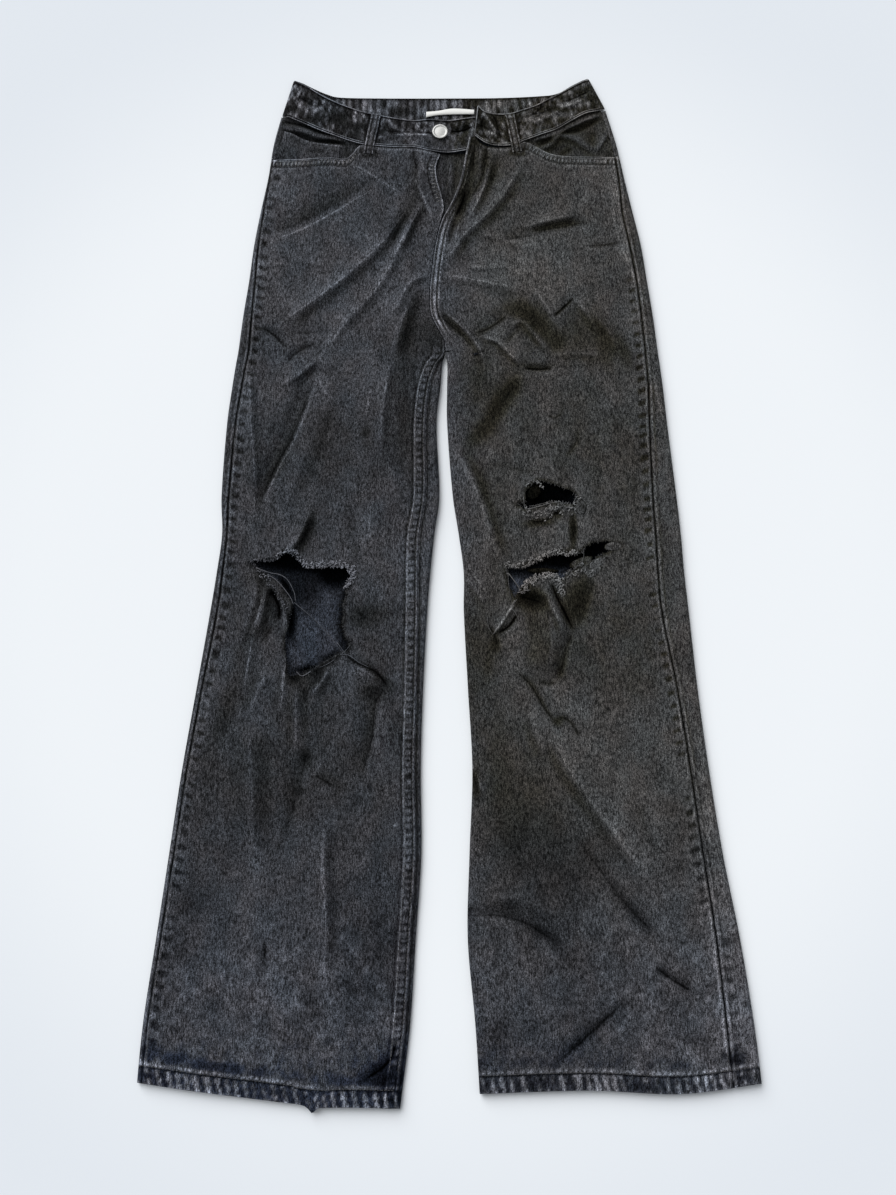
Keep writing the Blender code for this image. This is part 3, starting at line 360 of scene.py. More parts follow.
# on the inner face of the backs, seen through the rips
INSIDE_CREASES = rows_of(
    Crease,
    ([(-158, -48), (-139, -64), (-120, -85), (-108, -101)], 1.6, 6, 4, 0.5),
    ([(-131, -72), (-134, -90), (-136, -112)], 0.5, 5, 5, 0.15),
    ([(-158, -96), (-150, -110), (-146, -124)], 0.6, 6, 6, 0.15),
    ([(64, -20), (72, -34), (76, -46)], 1.2, 3, 3, 0.8),
    ([(80, -24), (100, -20), (120, -22)], 0.8, 5, 5, 0.3),
)
Patch = namedtuple("Patch", "x y along across turn tone")
# broad soft zones, lighter above 0 and darker below: faded and worn cloth, and painted shade in hollows,
# under raised edges and beside folds
RIGHT_WASH_AND_SHADE = rows_of(
    Patch,
    (-87.5, 447, 7, 2.2, 10, -0.9), (-94, 453.5, 2.0, 6, 10, -0.7), (-79.5, 452.5, 2.0, 6, 10, -0.8),
    (-84, -64, 26, 10, 6, -0.60), (-68, -128, 13, 4, -28, -0.75), (-68, -139, 14, 6, 4, -0.40),
    (-84, -124, 12, 2.6, -16, 0.28), (-177, -58, 9, 24, 20, -0.30), (-192, -24, 9, 8, 0, -0.35),
    (-150, -230, 75, 110, 0, -0.18), (-72, -330, 45, 120, 0, -0.16), (-40, 150, 14, 100, 0, -0.25),
    (-43, 246, 6, 24, -14, -0.26), (-45, 212, 10, 62, -6, -0.26), (-46, 160, 8, 22, 10, -0.22),
    (-16, 236, 15, 26, 0, -0.62), (-122, 108, 95, 60, 0, -0.27), (-120, 425, 46, 20, 10, 0.07),
    (-100, -180, 34, 34, 0, 0.06), (-60, 232, 14, 22, 0, -0.10), (-60, 230, 20, 25, 0, -0.16),
    (-215, -250, 40, 75, 0, -0.22), (-208, -68, 28, 65, 0, -0.32), (-72, -60, 24, 55, 0, -0.14),
    (-206, 232, 22, 26, 0, -0.22), (-140, -150, 42, 26, 0, -0.10), (-222, -160, 10, 40, -14, -0.30),
    (-188, -162, 12, 24, 10, 0.16), (-52, -190, 9, 60, 3, -0.2), (-57, -508, 13, 15, 0, -1.2),
    (-66, -500, 20, 9, 40, -0.35), (-60, -385, 22, 12, 50, -0.26), (-85, -425, 22, 9, 10, -0.20),
    (-178, -394, 5, 12, 0, -0.42), (-250, -350, 18, 20, -30, -0.26), (-262, -395, 12, 22, -20, -0.22),
    (-170, -458, 26, 10, -20, -0.16), (-90, -460, 6, 50, 6, -0.16), (-283, -482, 8, 5, 0, -0.9),
    (-284, -492, 10, 4, 0, 0.5), (-256, -490, 20, 4.5, -4, -0.45), (-222, -497, 30, 5, -5, -0.38),
    (-150, -504, 60, 5, -6, -0.15), (-138, 386, 60, 9, 28, -0.24), (-49, 374, 28, 7, 64, -0.50),
    (-152, 258, 15, 6, 40, -0.28), (-36, 425, 8, 26, 0, -0.22), (-178, 92, 24, 6, 62, -0.45),
    (-147, 20, 6, 22, -18, -0.8), (-86, 129, 4.5, 5, 0, -0.5), (-95, 2, 5, 9, 0, -0.30),
    (-160, 222, 20, 18, 0, -0.10), (-48, 125, 8, 32, 0, -0.14), (-132, -127, 10, 7, 50, -1.0),
    (-154, -128, 8, 6, 0, -1.3), (-144, -144, 4, 6, 0, -0.5), (-144, -162, 5, 22, 0, -0.25),
    (-72, -144, 12, 10, 20, -0.55), (-78, -178, 6, 22, -12, -0.30), (-141, -208, 6, 7, 0, -0.75),
    (-147, -240, 8, 3, 0, -0.5), (-151, -256, 6, 16, -10, -0.35), (-159, -275, 4, 8, -20, -0.4),
    (-118, -229, 13, 5, -25, -0.42), (-248, -335, 14, 60, 0, -0.16), (-190, -310, 9, 42, 0, 0.12),
    (-119, -409, 3, 10, 0, 0.35), (-131, -434, 9, 9, 0, -0.28), (-110, -437, 7, 18, 0, 0.16),
    (-51, -273, 1.6, 1.6, 0, 1.2),
)
LEFT_WASH_AND_SHADE = rows_of(
    Patch,
    (76.5, 449, 7, 2.2, -6, -0.9), (69.5, 455, 2.0, 6, -10, -0.7), (83.5, 456, 2.0, 6, -10, -0.8),
    (34, 442, 15, 24, 0, -0.45), (33, 465, 9, 5, -20, -1.0), (18, 396, 6, 22, -18, -0.9),
    (10, 372, 6, 18, -20, -0.45), (55, 160, 36, 9, 60, -0.72), (70, 180, 8, 8, 0, -0.30),
    (36, 132, 12, 12, 60, -0.34), (27, 122, 9, 9, 0, -0.30), (26, 178, 26, 44, 0, -0.30),
    (60, 320, 48, 36, 0, 0.14), (160, 402, 34, 30, 0, 0.09), (100, 408, 26, 30, 0, -0.16),
    (178, 300, 30, 40, 0, -0.19), (130, 130, 70, 55, 0, -0.12), (188, 80, 36, 65, 0, -0.20),
    (34, 84, 9, 36, 20, -0.20), (26, -100, 28, 75, 0, -0.36), (76, -285, 42, 95, 22, -0.48),
    (220, -450, 60, 30, 0, -0.03), (130, -50, 12, 27, -22, -0.72), (84, -47, 15, 9.5, -8, -1.9),
    (48, -95, 6, 8, 0, -0.5), (41, -116, 6, 16, 0, -0.2), (110, -172, 6, 5, 0, -0.7),
    (115, -158, 14, 16, 0, 0.16), (111, -112, 7, 20, 12, -0.3), (27, -232, 3, 14, 0, -0.8),
    (130, -318, 24, 26, 40, -0.18), (180, -357, 34, 7, -48, -0.50), (91, -375, 24, 6, -30, -0.55),
    (62, -351, 8, 6, 0, -0.3), (22, -354, 5, 4, 0, -0.5), (227, -426, 6, 4, -35, -0.5),
    (60, -480, 80, 28, 0, -0.16), (138, -464, 44, 5.0, 40, -0.65), (214, -416, 20, 4, -34, -0.35),
    (180, -60, 50, 90, 0, -0.18), (100, -430, 90, 60, 0, -0.06), (271, -488, 12, 6.5, 0, -1.1),
    (90, -498, 70, 5, 1, 0.22), (96, 204, 26, 3, 0, -0.28), (99, 247, 34, 11, -50, -0.72),
    (116, 230, 8, 12, -20, -0.30), (78, 264, 24, 13, -24, -0.44), (68, 236, 12, 5, 40, -0.22),
    (138, 240, 14, 28, 14, -0.36), (164, 232, 9, 32, 14, -0.48), (183, 226, 8, 28, 30, -0.46),
    (50, 262, 24, 8, 20, -0.14), (106, 362, 48, 5, 9, -0.18), (0, 256, 20, 6, -48, -0.5),
    (128.5, 25, 3.6, 15, 0, -1.7), (95, 32.5, 15, 4, 6, -0.85), (113, 41, 5, 4, 0, -0.8),
    (124, 4, 12, 3, 0, -0.3), (118, 20, 4, 16, -10, 0.22),
)
# painted shade in the hollows under the rips: tone 1 blacks them out, and below 0 the inner face is painted
# lighter
HOLLOW_SHADE_PATCHES = rows_of(
    Patch,
    (-150, -8, 66, 21, 0, 0.99), (-115, -22, 32, 19, -4, 0.99), (-150, -34, 26, 30, 8, 0.80),
    (-104, -66, 8, 42, 0, 0.93), (-165, -34, 5, 20, 34, 0.97), (-158, -70, 5, 23, 0, 0.95),
    (-141, -119, 17, 5.5, 12, 0.99), (-118, -106, 14, 4.5, 30, 0.93), (100, 62, 60, 26, 0, 0.995),
    (118, 0, 70, 17, 9, 0.995), (116, -9, 30, 11, 4, 0.99), (92, -16, 26, 10, 8, 0.86),
    (62, -22, 6, 9, 0, 0.8), (96, -14, 40, 9, 8, 0.90), (-128, -36, 10, 12, 20, -0.30),
    (-146, -94, 16, 18, 0, -0.22), (-116, -62, 9, 18, 0, -0.30), (150, 2, 28, 20, 20, 0.99),
)


# ------------------------------------------------------------------------------- small maths
def mix(a, b, t):
    return a + (b - a) * t


def step(low, high, value):
    """A smooth rise from 0 at low to 1 at high."""
    t = np.clip((value - low) / (high - low), 0.0, 1.0)
    return t * t * (3 - 2 * t)


def read(rows, key, value, at):
    """The value column of a table at places on its key column, on a smooth curve."""
    rows = sorted(rows, key=lambda row: getattr(row, key))
    xs = np.array([getattr(row, key) for row in rows], float)
    ys = np.array([getattr(row, value) for row in rows], float)
    slopes = np.empty_like(ys)
    slopes[1:-1] = (ys[2:] - ys[:-2]) / (xs[2:] - xs[:-2])
    slopes[0] = (ys[1] - ys[0]) / (xs[1] - xs[0])
    slopes[-1] = (ys[-1] - ys[-2]) / (xs[-1] - xs[-2])
    at = np.clip(np.asarray(at, float), xs[0], xs[-1])
    i = np.clip(np.searchsorted(xs, at, side="right") - 1, 0, len(xs) - 2)
    span = xs[i + 1] - xs[i]
    t = (at - xs[i]) / span
    return (
        (2 * t ** 3 - 3 * t ** 2 + 1) * ys[i]
        + (t ** 3 - 2 * t ** 2 + t) * span * slopes[i]
        + (3 * t ** 2 - 2 * t ** 3) * ys[i + 1]
        + (t ** 3 - t ** 2) * span * slopes[i + 1]
    )


def line(rows, x):
    """y of a seam or an edge at x."""
    return read(rows, "x", "y", x)


def chance(i, seed):
    """A repeatable number from 0 to 1 for each whole number."""
    value = np.sin(i * 127.1 + seed * 311.7) * 43758.5453
    return value - np.floor(value)


def ripple(s, pitch, seed):
    """Smooth noise along a line, from -1 to 1."""
    k = np.asarray(s, float) / pitch
    i = np.floor(k)
    t = k - i
    t = t * t * (3 - 2 * t)
    return 2 * mix(chance(i, seed), chance(i + 1, seed), t) - 1


def cloud(x, y, size, seed):
    """Smooth noise over the plan, from -1 to 1."""
    u, v = np.asarray(x, float) / size, np.asarray(y, float) / size
    i, j = np.floor(u), np.floor(v)
    s, t = u - i, v - j
    s, t = s * s * (3 - 2 * s), t * t * (3 - 2 * t)

    def at(a, b):
        return chance(a + 57.0 * b, seed)

    return 2 * mix(mix(at(i, j), at(i + 1, j), s), mix(at(i, j + 1), at(i + 1, j + 1), s), t) - 1


def roping(s, pitch, seed):
    """The uneven ripple of a puckered seam, from -1 to 1."""
    phase = np.asarray(s, float) / pitch + 0.4 * ripple(s, pitch * 2.3, seed)
    return np.cos(2 * math.pi * phase) * (0.65 + 0.35 * ripple(s, pitch * 1.7, seed + 5))


def curved(a, b, c, d, t):
    """A point of the Catmull-Rom curve between b and c."""
    return 0.5 * (2 * b + (c - a) * t + (2 * a - 5 * b + 4 * c - d) * t ** 2
                  + (3 * b - a - 3 * c + d) * t ** 3)


def smooth_path(points, spacing):
    """A Catmull-Rom curve through points, as a fine polyline."""
    points = np.array(points, float)
    if len(points) == 2:
        count = max(2, int(np.linalg.norm(points[1] - points[0]) / spacing) + 1)
        return points[0] + (points[1] - points[0]) * np.linspace(0, 1, count)[:, None]
    padded = np.vstack([2 * points[0] - points[1], points, 2 * points[-1] - points[-2]])
    out = []
    for k in range(1, len(padded) - 2):
        a, b, c, d = padded[k - 1:k + 3]
        count = max(2, int(np.linalg.norm(c - b) / spacing) + 1)
        for t in np.linspace(0, 1, count, endpoint=False):
            out.append(curved(a, b, c, d, t))
    out.append(points[-1])
    return np.array(out)


def reach_along(path):
    """Length along a polyline at each of its points."""
    return np.concatenate([[0], np.cumsum(np.hypot(*np.diff(path, axis=0).T))])


def nearby(path, x, y, margin):
    """Where places are within a margin of a path's box."""
    low, high = path.min(axis=0) - margin, path.max(axis=0) + margin
    return np.nonzero((x > low[0]) & (x < high[0]) & (y > low[1]) & (y < high[1]))


def beside(path, x, y):
    """Signed distance to a polyline (positive on its left), and the share along it."""
    a, b = path[:-1], path[1:]
    run = b - a
    length = np.hypot(run[:, 0], run[:, 1])
    start = np.concatenate([[0], np.cumsum(length)[:-1]])
    total = length.sum()
    px, py = x[:, None] - a[:, 0], y[:, None] - a[:, 1]
    t = np.clip((px * run[:, 0] + py * run[:, 1]) / length ** 2, 0, 1)
    dx, dy = px - t * run[:, 0], py - t * run[:, 1]
    far = np.hypot(dx, dy)
    k = far.argmin(axis=1)
    rows = np.arange(len(x))
    sign = np.sign(run[k, 0] * py[rows, k] - run[k, 1] * px[rows, k])
    along = (start[k] + t[rows, k] * length[k]) / total
    return far[rows, k] * np.where(sign == 0, 1, sign), along


CREASE_PATHS = {}


def crease_path(crease):
    """The crease's smooth path, worked out once."""
    key = tuple(crease.path)
    if key not in CREASE_PATHS:
        CREASE_PATHS[key] = smooth_path(crease.path, 5.0)
    return CREASE_PATHS[key]


def folds_near(creases, x, y, margin):
    """Each fold that passes near some of the places: fold, path, where, how far aside, how far along."""
    for crease in creases:
        path = crease_path(crease)
        near = nearby(path, x, y, margin(crease))
        if near[0].size:
            yield (crease, path, near, *beside(path, x[near], y[near]))


def creased(creases, x, y):
    """Height, and the worn tone with painted shade, that a table of folds gives at places in plan."""
    shape = np.shape(x)
    x, y = np.ravel(x).astype(float), np.ravel(y).astype(float)
    height, wear = np.zeros(len(x)), np.zeros(len(x))
    for crease, _, near, aside, along in folds_near(
            creases, x, y, lambda fold: 2.4 * max(fold.left, fold.right)):
        width = np.where(aside > 0, crease.left, crease.right * STEEP)
        fade = step(0, 0.28, along + 0.03) * step(0, 0.28, 1.03 - along)
        size = FOLD_RISE * crease.height / (1 + 0.07 * abs(crease.height))
        height[near] += size * fade * np.exp(-(aside / width) ** 2)
        worn = min(7.0, max(1.0, 0.25 * (crease.left + crease.right)))
        sharp = min(1.7, worn)
        wear[near] += crease.wear * fade * (0.15 * np.exp(-(aside / sharp) ** 2)
                                            + 0.75 * np.exp(-(aside / worn) ** 2))
        # a painted shadow along the side of a raised fold that faces away from the light
        if crease.height > 0:
            shadow = -0.065 * min(size, 5) * np.exp(-((aside / width + 1.1) / 0.7) ** 2)
            wear[near] += fade * shadow * (aside < 0)
    return height.reshape(shape), wear.reshape(shape)


def is_large(crease):
    """Whether a fold is high and long enough to shade the cloth on either side."""
    return abs(crease.height) >= 1.3 and np.hypot(*np.diff(crease_path(crease), axis=0).T).sum() >= 34


def facets(creases, x, y):
    """Broad soft shading either side of the larger folds: dark away from the light."""
    shape = np.shape(x)
    x, y = np.ravel(x).astype(float), np.ravel(y).astype(float)
    tone = np.zeros(len(x))
    for crease, _, near, aside, along in folds_near(filter(is_large, creases), x, y, lambda _: FACET):
        away = -aside if crease.height > 0 else aside
        size = min(1.0, abs(crease.height) / 3.2) * step(0, 0.3, along) * step(0, 0.3, 1 - along)
        dark = np.exp(-np.maximum(away, 0) / 15) * step(-1.5, 1.5, away) * step(FACET, 0.6 * FACET, away)
        light = np.exp(-np.maximum(-away, 0) / 10) * step(1.5, -1.5, away) * step(FACET, 0.6 * FACET, -away)
        tone[near] += size * (0.10 * light - 0.18 * dark)
    return np.clip(tone, -0.38, 0.18).reshape(shape)


def worn_and_shaded_lines(creases, x, y):
    """Distance to the nearest fold line, and its strength: pale where the cloth is worn, dark where shade is
    painted.
    """
    shape = np.shape(x)
    x, y = np.ravel(x).astype(float), np.ravel(y).astype(float)
    away, strength = np.full(len(x), 9.0), np.zeros(len(x))
    for crease, path, near, aside, along in folds_near(creases, x, y, lambda _: 6):
        fade = step(0, 0.22, along + 0.02) * step(0, 0.22, 1.02 - along)
        uneven = 0.75 + 0.35 * ripple(along * 40 + path[0, 0], 3.0, 6)
        closer = np.abs(aside) < np.abs(away[near])
        at = near[0][closer]
        away[at] = aside[closer]
        strength[at] = (crease.wear * fade * uneven)[closer]
    strength = np.where(np.abs(away) < LINE_REACH, strength, 0)
    return np.stack([away.reshape(shape), strength.reshape(shape)], -1)


def nearer(lines, away, wear):
    """Puts one more pale or dark line among the lines already measured, where it is the nearest."""
    close = np.abs(away) < np.abs(lines[..., 0])
    first = np.where(close, away, lines[..., 0])
    second = np.where(close, np.where(np.abs(away) < LINE_REACH, wear, 0), lines[..., 1])
    return np.stack([first, second], -1)


def inside_patch(patch, x, y):
    """How far places are from a patch's middle, squared: 1 at its half widths."""
    turn = math.radians(patch.turn)
    dx, dy = x - patch.x, y - patch.y
    u = (dx * math.cos(turn) + dy * math.sin(turn)) / patch.along
    v = (dy * math.cos(turn) - dx * math.sin(turn)) / patch.across
    return u ** 2 + v ** 2


def patched(patches, x, y):
    """The strongest of a table's soft patches at places in plan, from 0 to 1."""
    out = np.zeros(np.shape(x))
    for patch in patches:
        out = np.maximum(out, patch.tone * np.exp(-inside_patch(patch, x, y) ** 2))
    return out


def washed(patches, x, y):
    """All of a table's soft patches together, lighter and darker."""
    out = np.zeros(np.shape(x))
    for patch in patches:
        out += patch.tone * np.exp(-inside_patch(patch, x, y))
    return out


def stroke(value, at, width):
    """A soft stripe across a value, 1 in its middle."""
    return np.exp(-((value - at) / width) ** 2)


def strokes(tone, value, share, *marks):
    """Adds soft stripes to a tone. Each mark says where the stripe lies, its width and its strength."""
    for at, width, strength in marks:
        tone += strength * share * stroke(value, at, width)


def between(value, low, high, soft):
    """1 between two values, with soft ends."""
    return step(low - soft, low + soft, value) * step(high + soft, high - soft, value)


def fine_lines(lines):
    """Pale worn lines and dark painted shade lines, as creases of next to no height."""
    return [Crease(row.path, 0.25 if row.wear > 0 else -0.4, 2.4, 3.0, row.wear) for row in lines]


# ------------------------------------------------------------------------------- the two halves
class Half:
    """One half of the jeans: the flattened tube of a leg, open to the other above the fork."""

    def __init__(self, sections, fly_edge, hem, front_top, creases, wash, seed):
        self.sections, self.fly_edge, self.hem = sections, fly_edge, hem
        self.front_top, self.creases, self.wash, self.seed = front_top, creases, wash, seed
        self.inward = 1 if sections[0].side < 0 else -1

    def column(self, name, y):
        return read(self.sections, "y", name, y)

    def inner_x(self, y, edge):
        return np.where(y < FORK_Y, self.column("inner", y), read(edge, "y", "x", y))

    def width(self, y, edge):
        return np.abs(self.inner_x(y, edge) - self.column("side", y))

    def round(self, inset):
        """Length along the cloth from a roll's extreme to a point inset from it."""
        size = np.abs(inset)
        near = QUARTER * np.arccos(np.clip(1 - size / ROLL, -1, 1)) / (math.pi / 2)
        return np.copysign(np.where(size < ROLL, near, QUARTER + size - ROLL), inset)

    def end(self, y, edge, way):
        """Length from the side fold to a panel's inner end: way is -1 over the front, 1 under the back."""
        width = self.width(y, edge)
        closed = 2 * QUARTER + width - 2 * ROLL + way * self.round(self.column("inseam", y))
        return np.where(y >= FORK_Y, QUARTER + width - ROLL, closed)

    def front_end(self, y):
        return self.end(y, self.fly_edge, -1)

    def back_end(self, y):
        return self.end(y, CENTRE_BACK, 1)

    def seam_x(self, y):
        """x of the outseam over the top."""
        return self.column("side", y) + self.inward * self.column("outseam", y)

    def edge_x(self, y):
        """x of the front's inner edge: the inseam, or the fly's edge above the fork."""
        below = self.column("inner", y) - self.inward * self.column("inseam", y)
        return np.where(y < FORK_Y, below, read(self.fly_edge, "y", "x", y))

    def blots(self, y):
        """The dark spots that a puckered outseam wears into, from 0 to 1."""
        spots = step(-0.12, 0.68, roping(y, 12.8, self.seed + 7) + 0.3 * ripple(y, 37, self.seed))
        return spots * (1.0 if self.inward > 0 else step(330, 280, y))

    def hem_y(self, x):
        """The hem without its small notch."""
        return sum(line(self.hem, x + aside) for aside in (-14, -7, 0, 7, 14)) / 5

    def places_of(self, x, y):
        """Distances from the outseam, the inner edge, the hem and the front's top edge."""
        return (self.inward * (x - self.seam_x(y)), self.inward * (self.edge_x(y) - x),
                y - self.hem_y(x), line(self.front_top, x) - y)

    def fell(self, y):
        """Where the inner edge is a felled seam: the leg's on one half, the crotch's on the other."""
        if self.inward > 0:
            return step(236, 214, y)
        return step(236, 252, y) * step(392, 356, y)

    def lid(self, x, y):
        """Height of the top face, with its folds and its puckered seams."""
        height, _ = creased(self.creases, x, y)
        height = LAID + height
        height += 0.6 * cloud(x, y * 0.7, 46, self.seed)
        height += 0.3 * cloud(x, y, 17, self.seed + 3)
        from_seam, from_edge, from_hem, mouth = self.places_of(x, y)
        below = step(452, 436, y)
        height -= 0.9 * below * self.blots(y + 0.3 * from_seam) * stroke(from_seam, 6.2, 4.0)
        strokes(height, from_seam, 1, (0, 1.2, -0.9), (2.8, 1.4, 0.45))
        fell = self.fell(y)
        height += fell * 0.9 * between(from_edge, 0.2, FELL, 0.9)
        strokes(height, from_edge, fell, (2.5, 0.9, -0.8), (-1.4, 1.6, -1.0))
        if self.inward > 0:
            height += fell * between(from_edge, 3.2, 9.6, 0.7) * 0.45 * roping(y, 7.3, 12)
        else:
            strokes(height, from_edge, fell, (7.7, 0.9, -0.8))
        skew = x + 0.25 * from_hem
        hem = between(from_hem, -5, HEM_DEPTH, 1.0)
        height += hem * (0.7 + 0.6 * roping(skew, 9.2, self.seed + 13))
        strokes(height, from_hem, 1, (HEM_DEPTH - 1.6, 0.8, -0.6))
        lip = stroke(mouth, 4, 5) * step(80, 96, np.abs(x + 6))
        height += lip * (0.8 + 0.3 * roping(x, 4.3, self.seed + 15))
        if self.inward < 0:
            height += 2.2 * step(408, 450, y) * step(47, 30, x)
        lowest = 3.4 + floor_lift(x, y)
        floor_of_folds = np.where(
            np.abs(x + 5) > 80, mix(lowest, 6.1, step(404, 424, y)),
            mix(lowest, 6.1, step(350, 370, y) * step(50, 38, np.abs(x))),
        )
        soft = height - floor_of_folds
        return np.where(soft > 0.8, height, floor_of_folds + 0.8 * np.exp(np.minimum(soft - 0.8, 0) / 0.8))

    def shade(self, x, y):
        """How light or dark the cloth is, from worn cloth and from painted shade: about 1."""
        _, wear = creased(self.creases, x, y)
        from_seam, from_edge, from_hem, mouth = self.places_of(x, y)
        # the folds' worn lines with their painted shade, broad patches of fading and painted shade, and the
        # facets' painted shading beside large folds
        tone = 1.01 + wear + washed(self.wash, x, y) + facets(self.creases, x, y)
        tone += 0.09 * cloud(x, y * 0.6, 60, self.seed + 21)
        tone += 0.09 * cloud(x, y * 0.5, 17, self.seed + 22)
        tone += mix(0.06, 0.26, step(-310, -430, y)) * cloud(x, y * 0.7, 4.0, self.seed + 25)
        self.shade_outseam(tone, x, y, from_seam)
        self.shade_fell(tone, y, from_edge)
        self.shade_hem(tone, x, y, from_hem)
        at_mouth = step(80, 96, np.abs(x + 6))
        strokes(tone, mouth, at_mouth, (0.7, 1.2, 0.85))
        tone += at_mouth * between(mouth, 2.5, 7.6, 0.6) * (0.75 * roping(x, 4.3, self.seed + 15) + 0.02)
        strokes(tone, mouth, at_mouth, (2.3, 0.7, -0.5), (8.6, 1.0, -0.85), (10.8, 1.2, 0.25))
        under_band = (1 - at_mouth) * step(430, 440, y)
        tone += under_band * (0.55 + 0.25 * ripple(x, 9, 17)) * stroke(mouth, 2.6, 1.3)
        # a painted shadow just under the band's edge
        strokes(tone, mouth, under_band, (0.2, 1.0, -0.5))
        above_fork = step(352, 392, y) * (1 - at_mouth)
        strokes(tone, from_edge, above_fork, (0.7, 1.2, 1.0))
        if self.inward > 0:
            sewn = step(390, 402, y)
            tone += sewn * between(from_edge, 3.2, 8.2, 0.6) * (0.75 * roping(y, 4.1, 19) - 0.05)
            tone -= 0.8 * sewn * (stroke(from_edge, 2.4, 0.8) + stroke(from_edge, 9.2, 0.9))
        else:
            # a dark line behind the raised fly edge: painted shade where the cloth drops away from it
            strokes(tone, from_edge, above_fork, (3.4, 1.2, -0.85))
        return tone

    def shade_outseam(self, tone, x, y, from_seam):
        """The outseam's puckers and its pale and dark lines."""
        below = step(452, 436, y)
        wander = 1.6 * cloud(x, y, 7, 24)
        spots = self.blots(y + 0.3 * from_seam) * between(from_seam + wander, 2.9, 10.6, 1.6)
        if self.inward < 0:
            spots = spots * step(-372, -340, y)
        tone += below * (0.16 * stroke(from_seam, 7, 6) - 0.80 * spots)
        uneven = 0.75 + 0.3 * ripple(y, 11, self.seed + 23)
        strokes(tone, from_seam, uneven,
                (0, 1.15, -1.45), (2.1, 1.1, 0.75), (-2.6, 1.1, 0.55), (-4.8, 1.2, -0.35))
        if self.inward < 0:
            tone -= 0.8 * step(-350, -390, y) * self.blots(y + 9) * stroke(from_seam, -8, 4.5)
            tone += 0.32 * step(-150, -330, y) * step(-4, -9, from_seam)
            beside_seam = stroke(from_seam, 3.4, 1.7) + stroke(from_seam, -3.4, 1.5)
            tone += 0.40 * step(-290, -345, y) * beside_seam

    def shade_fell(self, tone, y, from_edge):
        """The felled seam: rungs on the right leg's inseam, two plain rows at the crotch."""
        fell = self.fell(y)
        strokes(tone, from_edge, fell, (0.6, 0.9, 0.70), (2.5, 0.9, -1.10), (-1.8, 1.5, -0.9))
        if self.inward > 0:
            bars = step(-0.15, 0.55, roping(y, 7.3, 12))
            tone += fell * between(from_edge, 3.5, 9.6, 0.6) * (0.30 - 1.00 * bars)
            strokes(tone, from_edge, fell, (10.8, 0.9, 0.75), (12.9, 1.2, -0.55))
        else:
            tone += fell * (0.85 + 0.3 * ripple(y, 6, 14)) * stroke(from_edge, 5.0, 1.6)
            strokes(tone, from_edge, fell, (7.7, 0.9, -1.0), (9.6, 1.0, 0.75))

    def shade_hem(self, tone, x, y, from_hem):
        """The turned hem: pale and dark bars, a stitch line, beads and a dark strip above it."""
        skew = x + 0.25 * from_hem
        hem = between(from_hem, -5, HEM_DEPTH - 2, 0.8)
        ropes = roping(skew, 9.4, self.seed + 13) + 0.35 * cloud(x, y, 4.6, self.seed + 32)
        bars = step(-0.30, 0.60, ropes + 0.40 * ripple(x, 48, self.seed + 31))
        tone += hem * (1.30 * bars - 0.58)
        strokes(tone, from_hem, 1, (0.4, 1.0, 0.35), (HEM_DEPTH - 1.4, 0.95, -1.4))
        beads = 0.45 + 0.6 * roping(skew, 4.6, 5) + 0.25 * ripple(x, 21, self.seed + 34)
        tone += beads * stroke(from_hem, HEM_DEPTH + 1.6, 1.7)
        murk = 0.20 + 0.2 * ripple(x, 16, self.seed + 33) + 0.35 * cloud(x, y, 9, self.seed + 35)
        tone -= murk * stroke(from_hem, HEM_DEPTH + 8, 5.5)

    def lid_at(self, x, y):
        """Height of the top face at one place."""
        return float(self.lid(np.array([x]), np.array([y]))[0])


RIGHT = Half(RIGHT_SECTIONS, RIGHT_FLY_EDGE, RIGHT_HEM, RIGHT_FRONT_TOP,
             RIGHT_CREASES + fine_lines(RIGHT_LINES), RIGHT_WASH_AND_SHADE, 3)
LEFT = Half(LEFT_SECTIONS, LEFT_FLY_EDGE, LEFT_HEM, LEFT_FRONT_TOP,
            LEFT_CREASES + fine_lines(LEFT_LINES), LEFT_WASH_AND_SHADE, 8)


def floor_lift(x, y):
    """The seat lies on the two back pockets."""
    across = step(SEAT_HALF + RAMP, SEAT_HALF, np.abs(x))
    along = step(SEAT_LOW - RAMP, SEAT_LOW, y) * step(SEAT_HIGH + RAMP, SEAT_HIGH, y)
    return SEAT_LIFT * across * along


def ring(half, y, u, edge, snap=None):
    """Points of the tube's outer face at lengths u from the side fold: over the top if positive."""
    side, width = half.column("side", y), half.width(y, edge)
    flat = width - 2 * ROLL
    run, upper = np.abs(u), u >= 0
    plan = np.where(run < QUARTER, ROLL, ROLL + run - QUARTER)
    turn = np.where(run < QUARTER, 1 - run / QUARTER, 0.0)
    past = (y < FORK_Y) & (run > QUARTER + flat)
    bend = -(run - QUARTER - flat) / QUARTER
    plan = np.where(past, ROLL + flat, plan)
    turn = np.where(past, bend, turn)
    over = past & (turn < -2)
    plan = np.where(over, ROLL + flat - (-turn - 2) * QUARTER, plan)
    turn = np.where(over, 0.0, turn)
    upper = np.where(over, ~upper, upper)
    x = side + half.inward * plan
    if snap is not None:
        x, y = snap(x, y)
    lid, base = half.lid(x, y), floor_lift(x, y)
    level = turn == 0.0
    angle = np.abs(turn) * math.pi / 2
    reach = ROLL * np.sin(angle)
    lift = lid / 2 * np.cos(angle)
    rolled_x = x + np.where(turn > 0, -half.inward, half.inward) * reach
    rolled_z = lid / 2 + np.where(upper, lift, -lift)
    z = np.where(level, np.where(upper, lid, base), rolled_z)
    return np.stack([np.where(level, x, rolled_x), y, z], axis=-1)


# ------------------------------------------------------------------------------- meshes
CHARCOAL_BLUE = np.array([0.0362, 0.0381, 0.0436])
CHARCOAL_WARM = np.array([0.0400, 0.0396, 0.0394])
CHARCOAL_LOW = np.array([0.0372, 0.0400, 0.0486])
INSIDE = np.array([0.024, 0.028, 0.037])


